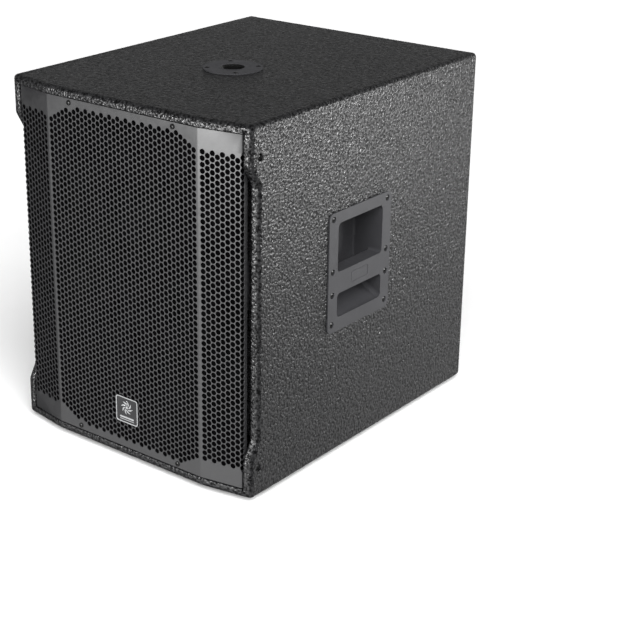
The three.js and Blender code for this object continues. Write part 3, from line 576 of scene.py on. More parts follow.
def side_panel(name, handle_low, handle_high):
    """A side panel: its front edge steps back between two chamfers and slants with the lids."""
    outline = side_outline()
    slant = (HALF_WIDTH - SIDE_INNER) * FOLD_SLOPE
    inner = [(SIDE_INNER, y, z) for y, z in outline]
    outer = [(HALF_WIDTH, y + (slant if y < 0 else 0), z) for y, z in outline]
    panel = bridge(name, inner, outer, COAT)
    notch_radius, inner_radius, chamfer_radius = 7.5, 6, 5.5

    def radius_of(a, b):
        across = not near(a.x, b.x)
        in_front = a.y < 0 and b.y < 0
        if across:
            if in_front and not near(a.z, BASE, TOP, FLOOR_INNER, LID_INNER):
                return chamfer_radius
            return EDGE_RADIUS if near(a.z, BASE, TOP) else 0
        if near(a.x, HALF_WIDTH):
            notched = max(a.y, b.y) < 0 and max(a.y, b.y) > PANEL_EDGE_FRONT + slant + 1
            return notch_radius if notched else EDGE_RADIUS
        beside_lid = max(a.z, b.z) > LID_INNER + 1 or min(a.z, b.z) < FLOOR_INNER - 1
        return inner_radius if in_front and not beside_lid else 0

    rounded(panel, radius_of, 4)
    opening = block("opening", (SIDE_INNER - 5, *handle_low), (HALF_WIDTH + 5, *handle_high), COAT)
    screw_holes = [
        hole_cutter((SIDE_SCREW_Y, z), "X", HALF_WIDTH - SIDE_SCREW_SUNK, HALF_WIDTH + 1, 5.8, 6.6, 32)
        for z in SIDE_SCREW_HEIGHTS
    ]
    return carve(panel, [opening, *screw_holes])


SIDE_SCREW_Y = cad("corner_block_top_right")[0].y + 6.5
SIDE_SCREW_HEIGHTS = [centre_of(f"corner_block_{end}_right").z for end in ("top", "bottom")]
SIDE_SCREW_SUNK = 4
HANDLE_LOW, HANDLE_HIGH = cad("handle_right")
HANDLE_Y, HANDLE_Z = centre_of("handle_right").yz


def rear_panel():
    """The back, with a rounded rebate round the amplifier."""
    panel = block("rear_board", (-SIDE_INNER, REAR_INNER, FLOOR_INNER), (SIDE_INNER, BACK, LID_INNER), COAT)
    play, depth, corner = 2, 7, 8
    half = AMP_HIGH.x + play
    low, high = AMP_LOW.z - play, AMP_HIGH.z + play
    edge = rounded_rectangle((-half, low), (half, high), corner)
    rebate = prism("rebate", edge, BACK - depth, BACK + 5, "Y", COAT)
    body_half, body_reach = AMP_BODY_HALF + play, AMP_BODY_REACH + play
    opening = block("opening", (-body_half, REAR_INNER - 5, AMP_Z - body_reach),
                    (body_half, BACK - 1, AMP_Z + body_reach), COAT)
    carve(panel, [rebate, opening])

    def radius_of(a, b):
        at_mouth = near(a.y, BACK) and near(b.y, BACK) and max(abs(a.x), abs(b.x)) < half + 1
        return 2.6 if at_mouth and low - 1 < a.z < high + 1 else 0

    return smooth(rounded(panel, radius_of, 3))


def coated_box():
    top = lid("lid_top", LID_INNER, TOP, TOP, LID_INNER)
    hole = hole_cutter(centre_of("pole_socket").xy, "Z", LID_INNER - 5, TOP + 5, 23.5, count=64)
    finished(smooth(carve(top, [hole])), "coated_plywood", nodes=["top_panel"])
    bottom = lid("lid_bottom", BASE, FLOOR_INNER, BASE, FLOOR_INNER)
    finished(smooth(bottom), "coated_plywood", nodes=["bottom_panel"])
    pocket_half, pocket_low, pocket_high = 68.5, -86.5, 90.5
    right = side_panel(
        "side_right",
        (HANDLE_Y - pocket_half, HANDLE_Z + pocket_low),
        (HANDLE_Y + pocket_half, HANDLE_Z + pocket_high),
    )
    smooth(right)
    finished(mirrored(right, "side_left"), "coated_plywood", nodes=["left_side_panel"])
    finished(right, "coated_plywood", nodes=["right_side_panel"])
    finished(rear_panel(), "coated_plywood", nodes=["rear_panel"])


coated_box()


# ---------------------------------------------------------------- the perforated grille


class Sheet:
    """A flat sheet (s across, z up) folded at two soft folds and turned back at both sides."""

    def __init__(self, outer_y, half_flat, half_width, flange, fold_radius=12, turn_radius=2.5):
        fall = math.atan(FOLD_SLOPE)
        turn = math.pi / 2 - fall
        flap = (half_width - half_flat) / math.cos(fall)
        fold_cut = fold_radius * math.tan(fall / 2)
        turn_cut = turn_radius * math.tan(turn / 2)
        self.outer_y = outer_y
        self.runs = [
            (half_flat - fold_cut, 0), (fold_radius * fall, fall), (flap - fold_cut - turn_cut, 0),
        ]
        if flange:
            self.runs += [(turn_radius * turn, turn), (flange - turn_cut, 0)]
        else:
            self.runs[2] = (flap - fold_cut, 0)
        self.half = sum(length for length, _ in self.runs)
        self.fold = (self.runs[0][0], self.runs[0][0] + self.runs[1][0])
        turn_start = self.fold[1] + self.runs[2][0]
        self.turn = (turn_start, turn_start + (turn_radius * turn if flange else 0))

    def point(self, s, z, depth):
        """Where a point of the flat sheet, depth behind its outer face, lies once it is folded."""
        left, x, y, heading = abs(s), 0.0, 0.0, 0.0
        for length, turn in self.runs:
            step = min(left, length)
            if turn:
                radius = length / turn
                x += radius * (math.sin(heading + step / radius) - math.sin(heading))
                y += radius * (math.cos(heading) - math.cos(heading + step / radius))
                heading += step / radius
            else:
                x += step * math.cos(heading)
                y += step * math.sin(heading)
            left -= step
        x -= depth * math.sin(heading)
        y += depth * math.cos(heading)
        return (math.copysign(x, s), self.outer_y + y, z)


HOLE_PITCH = 10.262
HOLE_RADIUS = 4.7
COLUMN = HOLE_PITCH * math.sqrt(3) / 2
HOLE_SIDES = 12
FLAP_SHIFT = 1.5
GRILLE_LOW, GRILLE_HIGH = cad("grille")
GRILLE_FOLD_X = 163.5
SCREW_PLACES = [centre_of(f"grille_screw_{i}") for i in (1, 2, 3, 4)]
TOP_ROW = GRILLE_HIGH.z - 15.8


def hole_places():
    """Places (column, row) of the holes, with where each lies on the flat sheet."""
    places = {}
    last_row = 110
    for column in range(-28, 28):
        middle = column + 0.5
        if 18 <= abs(middle) < 19:
            continue
        flap = abs(middle) > 19
        shift = -math.copysign(FLAP_SHIFT, middle) if flap else 0
        s = middle * COLUMN + shift
        for row in range(last_row + 1):
            if (row + column) % 2 == 0:
                continue
            if flap and not 4 <= row <= last_row - 4:
                continue
            cut_corner = max(0, abs(s) - 120) * math.tan(math.radians(30)) / (HOLE_PITCH / 2)
            if not flap and not cut_corner <= row <= last_row - cut_corner:
                continue
            z = TOP_ROW - row * HOLE_PITCH / 2
            if all(math.hypot(s - p.x, z - p.z) > 9.5 for p in SCREW_PLACES):
                places[column, row] = (s, z, shift)
    return places


def cell_corners(column, row, shift):
    """Corners of a hole's six-sided cell, in equal steps, so that neighbours share the same numbers."""
    half_side = HOLE_PITCH / math.sqrt(3) / 2
    steps = ((2, 0), (1, -1), (-1, -1), (-2, 0), (-1, 1), (1, 1))
    return [((3 * (column + 0.5) + across) * half_side + shift, TOP_ROW - (row + down) * HOLE_PITCH / 2)
            for across, down in steps]


def hole_edge(s, z, radius=HOLE_RADIUS, count=HOLE_SIDES):
    return [(s + radius * math.cos(2 * math.pi * k / count), z + radius * math.sin(2 * math.pi * k / count))
            for k in range(count)]


NEIGHBOURS = [(1, -1), (0, -2), (-1, -1), (-1, 1), (0, 2), (1, 1)]


def flat_grille(sheet):
    """The flat sheet's faces as lists of corners."""
    places = hole_places()
    faces, border = [], []
    for (column, row), (s, z, shift) in places.items():
        corners, hole = cell_corners(column, row, shift), hole_edge(s, z)
        for k, (across, up) in enumerate(NEIGHBOURS):
            after = (k + 1) % 6
            middle = hole[2 * k + 1]
            faces.append([corners[k], corners[after], hole[(2 * k + 2) % HOLE_SIDES], middle, hole[2 * k]])
            if (column + across, row + up) not in places:
                border.append((corners[k], corners[after]))
    rim = [(-sheet.half, GRILLE_LOW.z), (sheet.half, GRILLE_LOW.z),
           (sheet.half, GRILLE_HIGH.z), (-sheet.half, GRILLE_HIGH.z)]
    for ring in [rim, *(hole_edge(p.x, p.z, 2.6, 16) for p in SCREW_PLACES)]:
        border += list(zip(ring, ring[1:] + ring[:1]))
    reach = [GRILLE_LOW.z, GRILLE_HIGH.z]
    for side in (-1, 1):
        for s in (*sheet.fold, sum(sheet.fold) / 2):
            border.append(((side * s, reach[0]), (side * s, reach[1])))
        for s in (*sheet.turn, sum(sheet.turn) / 2):
            border.append(((side * s, reach[0]), (side * s, reach[0] + 28)))
            border.append(((side * s, reach[1] - 28), (side * s, reach[1])))
    points, edges, index = [], [], {}
    for pair in border:
        edge = []
        for p in pair:
            if p not in index:
                index[p] = len(points)
                points.append(p)
            edge.append(index[p])
        if edge[0] != edge[1]:
            edges.append(tuple(edge))
    filled = geometry.delaunay_2d_cdt([Vector(p) for p in points], edges, [], 0, 1e-3)
    exact = [points[min(own)] if own else tuple(v) for v, own in zip(filled[0], filled[3])]
    tree = kdtree.KDTree(len(places))
    for i, (s, z, _) in enumerate(places.values()):
        tree.insert((s, z, 0), i)
    tree.balance()
    for triangle in filled[2]:
        corners = [exact[i] for i in triangle]
        middle = sum((Vector(c) for c in corners), Vector((0, 0))) / 3
        centre, _, _ = tree.find((middle.x, middle.y, 0))
        away = Vector((abs(middle.x - centre.x), abs(middle.y - centre.y)))
        slanted = away.x * math.cos(math.pi / 6) + away.y * math.sin(math.pi / 6)
        in_cell = max(away.y, slanted) < HOLE_PITCH / 2 + 0.01
        in_screw = any(math.hypot(middle.x - p.x, middle.y - p.z) < 2.5 for p in SCREW_PLACES)
        if not in_cell and not in_screw:
            faces.append(corners)
    return faces


def perforated_grille():
    sheet = Sheet(GRILLE_LOW.y, GRILLE_FOLD_X, GRILLE_HIGH.x, 12)
    thickness = 1.2
    points, index, shown = [], {}, []

    def corner(s, z, depth):
        if (s, z, depth) not in index:
            index[s, z, depth] = len(points)
            points.append(sheet.point(s, z, depth))
        return index[s, z, depth]

    used = {}
    for face in flat_grille(sheet):
        front = list(dict.fromkeys(corner(s, z, 0) for s, z in face))
        if len(front) < 3:
            continue
        back = list(dict.fromkeys(corner(s, z, thickness) for s, z in face))
        shown.append(tuple(front))
        shown.append(tuple(reversed(back)))
        for a, b in zip(front, front[1:] + front[:1]):
            used[a, b] = True
    reverse = {v: k for k, v in index.items()}
    for a, b in list(used):
        if (b, a) not in used:
            (sa, za, _), (sb, zb, _) = reverse[a], reverse[b]
            shown.append((b, a, index[sa, za, thickness], index[sb, zb, thickness]))
    return new_object("perforated_grille", points, shown, "grille_steel")


finished(shaded(perforated_grille(), 40), "grille_steel", nodes=["grille"])


# ---------------------------------------------------------------- foam, screws and badge


def foam_sheet():
    """Open foam behind the grille: it follows the folds and bellies a little towards the holes."""
    low, high = cad("grille_foam")
    sheet = Sheet(low.y, GRILLE_FOLD_X, high.x, 0)
    thickness = 5.7
    columns, rows = 96, 120
    points, faces = [], []

    def belly(s, z):
        return 0.5 + 0.25 * math.sin(s / 21) * math.sin(z / 33) + 0.15 * math.sin(s / 7 + z / 11)

    for depth in (0, thickness):
        for i in range(columns + 1):
            for j in range(rows + 1):
                s = -sheet.half + 2 * sheet.half * i / columns
                z = low.z + 1 + (high.z - low.z - 2) * j / rows
                points.append(sheet.point(s, z, depth + (0.6 - belly(s, z) if depth == 0 else 0)))
    layer = (columns + 1) * (rows + 1)
    for i in range(columns):
        for j in range(rows):
            a = i * (rows + 1) + j
            quad = (a, a + 1, a + rows + 2, a + rows + 1)
            faces += [quad, tuple(layer + k for k in reversed(quad))]
    rim = [i * (rows + 1) for i in range(columns + 1)]
    rim += [columns * (rows + 1) + j for j in range(1, rows + 1)]
    rim += [i * (rows + 1) + rows for i in range(columns - 1, -1, -1)]
    rim += list(range(rows - 1, 0, -1))
    faces += [(a, b, b + layer, a + layer) for a, b in zip(rim, rim[1:] + rim[:1])]
    foam = shaded(new_object("grille_foam_sheet", points, faces, "foam"), 50)
    finished(foam, "foam", nodes=["grille_foam"])


def screw(radius, height, shank, finish):
    """A domed screw with a cross recess, its head's seat at 0 and its axis along +Z."""
    profile = [(0, -shank), (radius * 0.45, -shank), (radius * 0.45, 0), (radius, 0), (radius, height * 0.25)]
    steps = 5
    for i in range(1, steps + 1):
        angle = math.pi / 2 * i / steps
        reach = radius * math.cos(angle) if i < steps else 0
        profile.append((reach, height * (0.25 + 0.75 * math.sin(angle))))
    head = lathe("screw", profile, (0, 0), "Z", finish, 28)
    long, wide, deep = radius * 0.55, radius * 0.15, height * 0.35
    arms = [
        block("arm", (-long, -wide, deep), (long, wide, height + 1), finish),
        block("arm", (-wide, -long, deep), (wide, long, height + 1), finish),
    ]
    return smooth(carve(head, arms), 30)


AXES = {"+X": ("Y", 90), "-X": ("Y", -90), "-Y": ("X", 90), "+Y": ("X", -90), "+Z": ("X", 0)}


def screws(name, size, places, out, slot, nodes=()):
    """Screws of a size (head radius, head height, shank) at places, facing out, each turned its own way."""
    template = screw(*size, slot)
    axis, angle = AXES[out]
    face = Matrix.Rotation(math.radians(angle), 4, axis)
    copies = []
    for i, place in enumerate(places):
        spin = Matrix.Rotation(0.7 + 2.1 * i, 4, "Z")
        copies.append(copied(template, Matrix.Translation(place) @ face @ spin))
    bpy.data.objects.remove(template)
    return finished(joined(name, copies), slot, nodes=nodes)


def rosette(name, centre, y, radius, thickness, out, finish, blades=8):
    """A pinwheel of curved blades round a hub: a plain ornament."""
    y0, y1 = sorted((y, y + out * thickness))
    parts = []
    for k in range(blades):
        turn = 2 * math.pi * k / blades
        outline = []
        for side, steps in ((1, range(7)), (-1, range(6, -1, -1))):
            for i in steps:
                share = i / 6
                r = radius * (0.3 + 0.66 * share)
                half = 0.21 * math.sin(math.pi * min(1, 0.25 + share * 0.75)) + 0.02
                angle = turn + share * 0.75 + side * half
                outline.append((centre[0] + r * math.cos(angle), centre[1] + r * math.sin(angle)))
        parts.append(prism(name, outline, y0, y1, "Y", finish))
    hub = [(0, y0), (radius * 0.2, y0), (radius * 0.2, y1), (0, y1)]
    parts.append(lathe(name, hub, centre, "Y", finish, 32))
    return smooth(eased(joined(name, parts), thickness * 0.3, 2))


def badge():
    """A dark plate with a bright border, a pinwheel and two bars."""
    low, high = cad("badge_plate")
    middle = (0, (low.z + high.z) / 2)
    plate = prism("badge_rim", rounded_rectangle((low.x, low.z), (high.x, high.z), 5, 6), low.y, high.y, "Y",
                  "silver_metal")
    border, sunk = 2, 0.7
    field = rounded_rectangle((low.x + border, low.z + border), (high.x - border, high.z - border), 3.4, 6)
    carve(plate, [prism("field", field, low.y - 1, low.y + sunk, "Y", COAT)])
    finished(smooth(eased(plate, 0.25)), "silver_metal", nodes=["badge_plate"])
    inlay_low, inlay_high = (low.x + border, low.z + border), (high.x - border, high.z - border)
    inlay_edge = rounded_rectangle(inlay_low, inlay_high, 3.3, 6)
    inlay = prism("badge_field", inlay_edge, low.y + sunk - 0.15, low.y + sunk + 0.2, "Y", "black_plastic")
    finished(smooth(inlay), "black_plastic")
    emblem_centre = (0, middle[1] + 5)
    wheel = rosette("badge_emblem", emblem_centre, low.y + sunk - 0.1, 13.5, 0.55, -1, "silver_metal")
    bars = [
        prism("bar", rounded_rectangle((-16, z), (16, z + height), height * 0.4, 3),
              low.y + 0.1, low.y + sunk, "Y", "silver_metal")
        for z, height in ((low.z + 8.6, 3.2), (low.z + 5.4, 1.2))
    ]
    finished(smooth(joined("badge_emblem", [wheel, *bars])), "silver_metal")


def grille_screws():
    places = [(p.x, GRILLE_LOW.y - 0.05, p.z) for p in SCREW_PLACES]
    nodes = [f"grille_screw_{i}" for i in (1, 2, 3, 4)]
    screws("grille_screws", (4.5, 2.7, 20), places, "-Y", "black_steel", nodes)


foam_sheet()
badge()
grille_screws()


# ---------------------------------------------------------------- handles, pole socket and feet

POCKET_HALF = 63.5
POCKET_TOP, BAR_TOP, BAR_BOTTOM, POCKET_BOTTOM = 85.5, -0.5, -38.5, -81.5
HANDLE_FLOOR = HANDLE_LOW.x + 3
BAR_BACK = HANDLE_HIGH.x - 26


def pocket(profile, half, corners):
    """A cutting shape from an outline in X and Z, with its long corners rounded as corners says."""
    outline = [(x, HANDLE_Z + z) for x, z in profile]
    tool = prism("pocket", outline, HANDLE_Y - half, HANDLE_Y + half, "Y", COAT)

    def radius_of(a, b):
        along_side = near(a.y, b.y) and abs(abs(a.y - HANDLE_Y) - half) < 0.1
        return corners((a.z + b.z) / 2 - HANDLE_Z, (a.x + b.x) / 2) if along_side else 0

    return rounded(tool, radius_of, 5)


def handle():
    """A moulded plate with two pockets that meet behind a bar."""
    face, floor_x, mouth = HANDLE_HIGH.x, HANDLE_FLOOR, HANDLE_HIGH.x + 6
    plate_edge = rounded_rectangle((HANDLE_LOW.y, HANDLE_LOW.z), (HANDLE_HIGH.y, HANDLE_HIGH.z), 10, 6)
    body = prism("handle_side", plate_edge, HALF_WIDTH + 0.1, face, "X", "handle_plastic")
    wall = 3
    shell = [
        (face - 1, POCKET_TOP + wall), (HANDLE_LOW.x, POCKET_TOP + wall), (HANDLE_LOW.x, -41.5),
        (HALF_WIDTH - 50, -58.5), (HALF_WIDTH - 20, -76.5), (HALF_WIDTH - 4, POCKET_BOTTOM - wall),
        (face - 1, POCKET_BOTTOM - wall),
    ]
    housing = prism("housing", [(x, HANDLE_Z + z) for x, z in shell],
                    HANDLE_Y - POCKET_HALF - wall, HANDLE_Y + POCKET_HALF + wall, "Y", "handle_plastic")
    carve(body, [housing], "UNION")
    upper = pocket(
        [(mouth, BAR_TOP), (floor_x, BAR_TOP), (floor_x, POCKET_TOP), (mouth, POCKET_TOP)], POCKET_HALF,
        lambda z, x: 10 if z > POCKET_TOP - 1 and x > floor_x + 5 else 6 if abs(x - floor_x) > 5 else 5,
    )
    behind = pocket(
        [(BAR_BACK, -45), (floor_x, -40.5), (floor_x, 20), (BAR_BACK, 20)], POCKET_HALF, lambda z, x: 3
    )
    scoop = [
        (mouth, BAR_BOTTOM), (floor_x + 4, BAR_BOTTOM), (HALF_WIDTH - 48, -56.5), (HALF_WIDTH - 18, -73.5),
        (HALF_WIDTH - 4, POCKET_BOTTOM), (mouth, POCKET_BOTTOM),
    ]
    lower = pocket(scoop, POCKET_HALF, lambda z, x: 8)
    carve(body, [upper, behind, lower])
    label_half = (23, 8.5)
    bar_middle = HANDLE_Z + (BAR_TOP + BAR_BOTTOM) / 2

    def label_edge(margin):
        low = (HANDLE_Y - label_half[0] - margin, bar_middle - label_half[1] - margin)
        high = (HANDLE_Y + label_half[0] + margin, bar_middle + label_half[1] + margin)
        return rounded_rectangle(low, high, 2.5 + margin, 4)

    groove = prism("groove", label_edge(1.2), face - 0.9, face + 1, "X", COAT)
    raised = prism("label", label_edge(0), face - 1.2, face - 0.25, "X", "handle_plastic")
    carve(carve(body, [groove]), [raised], "UNION")

    def radius_of(a, b):
        return 1.1 if near(a.x, face) and near(b.x, face) else 0

    return rounded(body, radius_of, 3)


def handles():
    right = handle()
    right.name = "handle_grip_right"
    seat = HANDLE_HIGH.x - 2.3
    offsets = [(side * 76.5, z) for side in (-1, 1) for z in (94.5, 3, -38, -91)]
    places = [(seat, HANDLE_Y + y, HANDLE_Z + z) for y, z in offsets]
    wells = [hole_cutter((y, z), "X", seat, HANDLE_HIGH.x + 1, 5.3, 5.8) for _, y, z in places]
    smooth(carve(right, wells), 35, 0)
    finished(mirrored(right, "handle_grip_left"), "handle_plastic", nodes=["handle_left"])
    finished(right, "handle_plastic", nodes=["handle_right"])
    side_places = [(HALF_WIDTH - SIDE_SCREW_SUNK + 0.2, SIDE_SCREW_Y, z) for z in SIDE_SCREW_HEIGHTS]
    for name, row in (("handle_screws", places), ("side_screws", side_places)):
        screws(f"{name}_right", (4.6, 2.0, 14), row, "+X", "black_steel")
        screws(f"{name}_left", (4.6, 2.0, 14), [(-x, y, z) for x, y, z in row], "-X", "black_steel")


def pole_socket():
    low, high = cad("pole_socket")
    centre = centre_of("pole_socket").xy
    face, seat, edge = high.z, TOP + 0.1, high.x
    profile = [
        (0, low.z), (22.5, low.z), (22.5, seat), (edge, seat), (edge, face - 1.2), (edge - 0.4, face - 0.5),
        (edge - 1.4, face), (32, face), (31, face - 0.5), (24.5, face - 0.5), (23.6, face), (21.6, face),
        (20.6, face - 0.5), (19.9, face - 1.6), (18.3, face - 4), (18.3, low.z + 5), (0, low.z + 5),
    ]
    socket = lathe("pole_cup", profile, centre, "Z", "handle_plastic", 96)
    ring = 44 * math.cos(math.radians(45))
    places = [(centre[0] + sx * ring, centre[1] + sy * ring, face - 0.9) for sx in (-1, 1) for sy in (-1, 1)]
    wells = [hole_cutter((x, y), "Z", face - 1, face + 1, 5, 5.4) for x, y, _ in places]
    smooth(carve(socket, wells), 30)
    finished(socket, "handle_plastic", nodes=["pole_socket"])
    # A thin black steel tube just inside the bore, carried on over the flared mouth: partly a real tube, and
    # its blackness over the mouth and down the bore is painted shade inside the hole.
    tube_and_shade = [
        (17.9, low.z + 5.1), (18.2, low.z + 5.1), (18.2, face - 4.05), (19.8, face - 1.65),
        (20.5, face - 0.5), (20.2, face - 0.4), (19.5, face - 1.6), (17.9, face - 3.9),
    ]
    finished(lathe("pole_bore_shade_lining", tube_and_shade, centre, "Z", "black_steel", 96), "black_steel")
    screws("pole_cup_screws", (4.2, 1.7, 10), places, "+Z", "black_steel")


def feet():
    """Rubber feet with a dished sole and a hole for their screw."""
    for corner in ("front_left", "front_right", "back_left", "back_right"):
        _, high = cad(f"foot_{corner}")
        centre = centre_of(f"foot_{corner}").xy
        radius = high.x - centre.x
        profile = [
            (0, 4.2), (3.2, 4.2), (3.2, 3), (6, 2.8), (6.4, 1.2), (radius - 5, 0.8), (radius - 4, 0),
            (radius - 2, 0), (radius - 0.6, 0.6), (radius, 2), (radius - 0.8, high.z - 0.8),
            (radius - 1.6, BASE), (0, BASE),
        ]
        foot = lathe(f"rubber_foot_{corner}", profile, centre, "Z", "rubber", 48)
        finished(smooth(foot), "rubber", nodes=[f"foot_{corner}"])


handles()
pole_socket()
feet()


# ---------------------------------------------------------------- amplifier casting

AMP_FACE = AMP_HIGH.y - 1.8
PANEL_FACE = cad("input_panel")[1].y
CASTING = "amp_casting"


def refined(node, width, name, segments=2, dissolve=1.0):
    """A copy of a CAD node's mesh with its flat faces whole again and its edges rounded."""
    mesh = frame["nodes"][node].data.copy()
    work = bmesh.new()
    work.from_mesh(mesh)
    bmesh.ops.remove_doubles(work, verts=work.verts, dist=0.01 * MM)
    bmesh.ops.dissolve_limit(
        work, angle_limit=math.radians(dissolve), verts=work.verts, edges=work.edges,
        use_dissolve_boundaries=False,
    )
    work.to_mesh(mesh)
    work.free()
    part = next(p for p in frame["record"]["subparts"] if p["node"] == node)
    piece = smooth(eased(shown(name, mesh), width, segments))
    return finished(piece, part["material_slot"], body_of(node), [node])


def body_of(node):
    return next(body for body, members in frame["record"]["behaviour"]["bodies"].items() if node in members)


def loft(name, mouth, mouth_y, floor_outline, floor_y, finish):
    """The solid between two outlines, both across Y."""
    first = [(x, mouth_y, z) for x, z in mouth]
    return bridge(name, first, [(x, floor_y, z) for x, z in floor_outline], finish)


def groove(x, low, high, half=4.5, low_ramp=11, high_ramp=11, depth=10):
    """A slot between two fins, with sloping ends that come to a point."""
    point = min(5, (high - low) / 4)

    def outline(width, start, end, tip):
        return [(x - width, start + tip), (x, start), (x + width, start + tip),
                (x + width, end - tip), (x, end), (x - width, end - tip)]

    mouth = outline(half, low, high, point)
    inner = outline(half * 0.5, low + low_ramp, high - high_ramp, point * 0.5)
    return loft("groove", mouth, AMP_HIGH.y + 0.4, inner, AMP_FACE - depth, CASTING)


def grooves(disc_z, clear):
    """Cutting shapes of the fins' slots, which stop short of the round badge."""
    pitch, low, high = 13.8, AMP_Z - 119, AMP_Z + 103
    tools = []
    for i in range(8):
        x = (i - 3.5) * pitch
        if abs(x) >= clear:
            tools.append(groove(x, low, high))
            continue
        reach = math.sqrt(clear**2 - x**2)
        tools.append(groove(x, disc_z + reach, high, low_ramp=7))
        tools.append(groove(x, low, disc_z - reach, high_ramp=7))
    for side in (-1, 1):
        for x in (58.8, 65.2):
            for start, end in ((74, 101), (-116, -88)):
                tools.append(groove(side * x, AMP_Z + start, AMP_Z + end, 2.1, 4, 4, 5))
    return tools


def fin_outline():
    """The raised field of the fins, with a lobe at each of its four corners."""
    low, high, half, lobe_half, lobe = -124.6, 108.6, 55.5, 70, 43
    right = [
        (half - 3, low), (half, low + 3), (lobe_half - 3, low + 15), (lobe_half, low + 19),
        (lobe_half, low + lobe - 6), (lobe_half - 5, low + lobe), (half + 3, low + lobe + 4),
        (half, low + lobe + 9), (half, high - lobe - 9), (half + 3, high - lobe - 4),
        (lobe_half - 5, high - lobe), (lobe_half, high - lobe + 6), (lobe_half, high - 9),
        (lobe_half - 3, high - 5), (half, high),
    ]
    return [(x, AMP_Z + z) for x, z in [*right, *[(-x, z) for x, z in reversed(right)]]]


def recess(mouth, floor_box):
    """A pocket down to a connector panel, with sloping rounded walls."""
    outlines = []
    for (half, low, high), radius in ((mouth, 6), (floor_box, 4)):
        outlines.append(rounded_rectangle((-half, AMP_Z + low), (half, AMP_Z + high), radius, 5))
    extra = 1
    rise = AMP_FACE - PANEL_FACE
    grown = [
        (mx + (mx - fx) * extra / rise, mz + (mz - fz) * extra / rise)
        for (mx, mz), (fx, fz) in zip(*outlines)
    ]
    return loft("recess", grown, AMP_FACE + extra, outlines[1], PANEL_FACE - 0.5, CASTING)


def amp_casting():
    disc_z = centre_of("amp_emblem").z
    plate_edge = rounded_rectangle((-AMP_HIGH.x, AMP_LOW.z), (AMP_HIGH.x, AMP_HIGH.z), 6, 6)
    casting = prism("amp_front", plate_edge, AMP_FACE - 3.4, AMP_FACE, "Y", CASTING)
    body = block("body", (-AMP_BODY_HALF, AMP_LOW.y, AMP_Z - AMP_BODY_REACH),
                 (AMP_BODY_HALF, AMP_FACE - 3, AMP_Z + AMP_BODY_REACH), CASTING)
    raised = prism("fins", fin_outline(), AMP_FACE - 1, AMP_HIGH.y, "Y", CASTING)
    carve(casting, [body], "UNION")
    carve(casting, [raised], "UNION")
    ring = [(31, AMP_FACE - 0.5), (36, AMP_FACE - 0.5), (34.6, AMP_HIGH.y - 0.05), (32.2, AMP_HIGH.y - 0.05)]
    dish = [(0, AMP_FACE), (40.5, AMP_FACE), (41.5, AMP_HIGH.y + 1), (0, AMP_HIGH.y + 1)]
    carve(casting, [lathe("dish", dish, (0, disc_z), "Y", CASTING, 96)])
    carve(casting, [lathe("ring", ring, (0, disc_z), "Y", CASTING, 96)], "UNION")
    carve(casting, grooves(disc_z, 41.5))
    places = [(sx * 73.3, AMP_FACE - 0.8, AMP_Z + z) for sx in (-1, 1) for z in (-115, -38.5, 38.5, 115)]
    places += [(sx * 38, AMP_FACE - 0.8, AMP_Z + z) for sx in (-1, 1) for z in (-185, 185)]
    wells = [hole_cutter((x, z), "Y", AMP_FACE - 0.9, AMP_FACE + 1, 4.6, 5.2) for x, _, z in places]
    input_recess = recess((66.5, 105.5, 176), (56.5, 111.7, 174.5))
    power_recess = recess((66, -175.5, -126), (59.5, -171.6, -128))
    carve(casting, [input_recess, power_recess, *wells])
    finished(smooth(eased(casting, 0.5, 2, 30)), "amp_casting", nodes=["amp_plate"])
    screws("amp_front_screws", (4.2, 1.7, 8), places, "+Y", "plated_steel")
    disc(disc_z)


def disc(disc_z):
    """The round badge between the fins: a dark dish with a bright pinwheel."""
    low, high = cad("amp_emblem")
    radius = high.x
    profile = [(0, low.y), (radius, low.y), (radius, high.y - 0.5), (radius - 0.5, high.y),
               (radius - 3, high.y), (radius - 4, low.y + 0.5), (0, low.y + 0.4)]
    dish = lathe("amp_badge_dish", profile, (0, disc_z), "Y", "black_plastic", 96)
    finished(smooth(dish), "black_plastic", nodes=["amp_emblem"])
    wheel = rosette("amp_badge_emblem", (0, disc_z), low.y + 0.4, 21.5, 0.9, 1, "silver_metal", 10)
    finished(wheel, "silver_metal")


amp_casting()


# ---------------------------------------------------------------- connectors and controls


def printed(name, slot, rectangles):
    """Thin printed bars on the connector panels, as (x0, x1, z0, z1) from the plate's centre."""
    bars = [
        prism(name, rounded_rectangle((x0, AMP_Z + z0), (x1, AMP_Z + z1), min(0.4, (z1 - z0) * 0.3), 2),
              PANEL_FACE - 0.05, PANEL_FACE + 0.08, "Y", slot)
        for x0, x1, z0, z1 in rectangles
    ]
    return finished(joined(name, bars), slot)


def combo_input():
    """A round input with a chamfered mouth, a jack in its middle and a latch way."""
    low, high = cad("combo_jack")
    middle = centre_of("combo_jack")
    face, flange = high.y, high.x - middle.x
    seat = PANEL_FACE + 0.3
    profile = [
        (0, low.y), (10, low.y), (10, seat), (flange, seat), (flange, face - 1), (flange - 0.9, face - 0.2),
        (flange - 2, face), (9.6, face), (8.8, face - 0.9), (8.8, face - 16), (6.2, face - 16), (6, face - 4),
        (5.2, face - 3.4), (3.6, face - 3.4), (3.2, face - 4), (3.2, face - 20), (0, face - 20),
    ]
    shell = lathe("combo_input", profile, (middle.x, middle.z), "Y", "black_plastic", 64)
    way_low, way_high = (middle.x - 3, seat + 0.8, middle.z + 8), (middle.x + 3, face + 2, middle.z + 14)
    way = block("way", way_low, way_high, COAT)
    ears = [
        hole_cutter((middle.x + side * 7.6, middle.z - side * 7.6), "Y", face - 1.2, face + 1, 1.2, count=16)
        for side in (-1, 1)
    ]
    finished(smooth(carve(shell, [way, *ears])), "black_plastic", nodes=["combo_jack"])
    refined("combo_latch", 0.35, "combo_release")


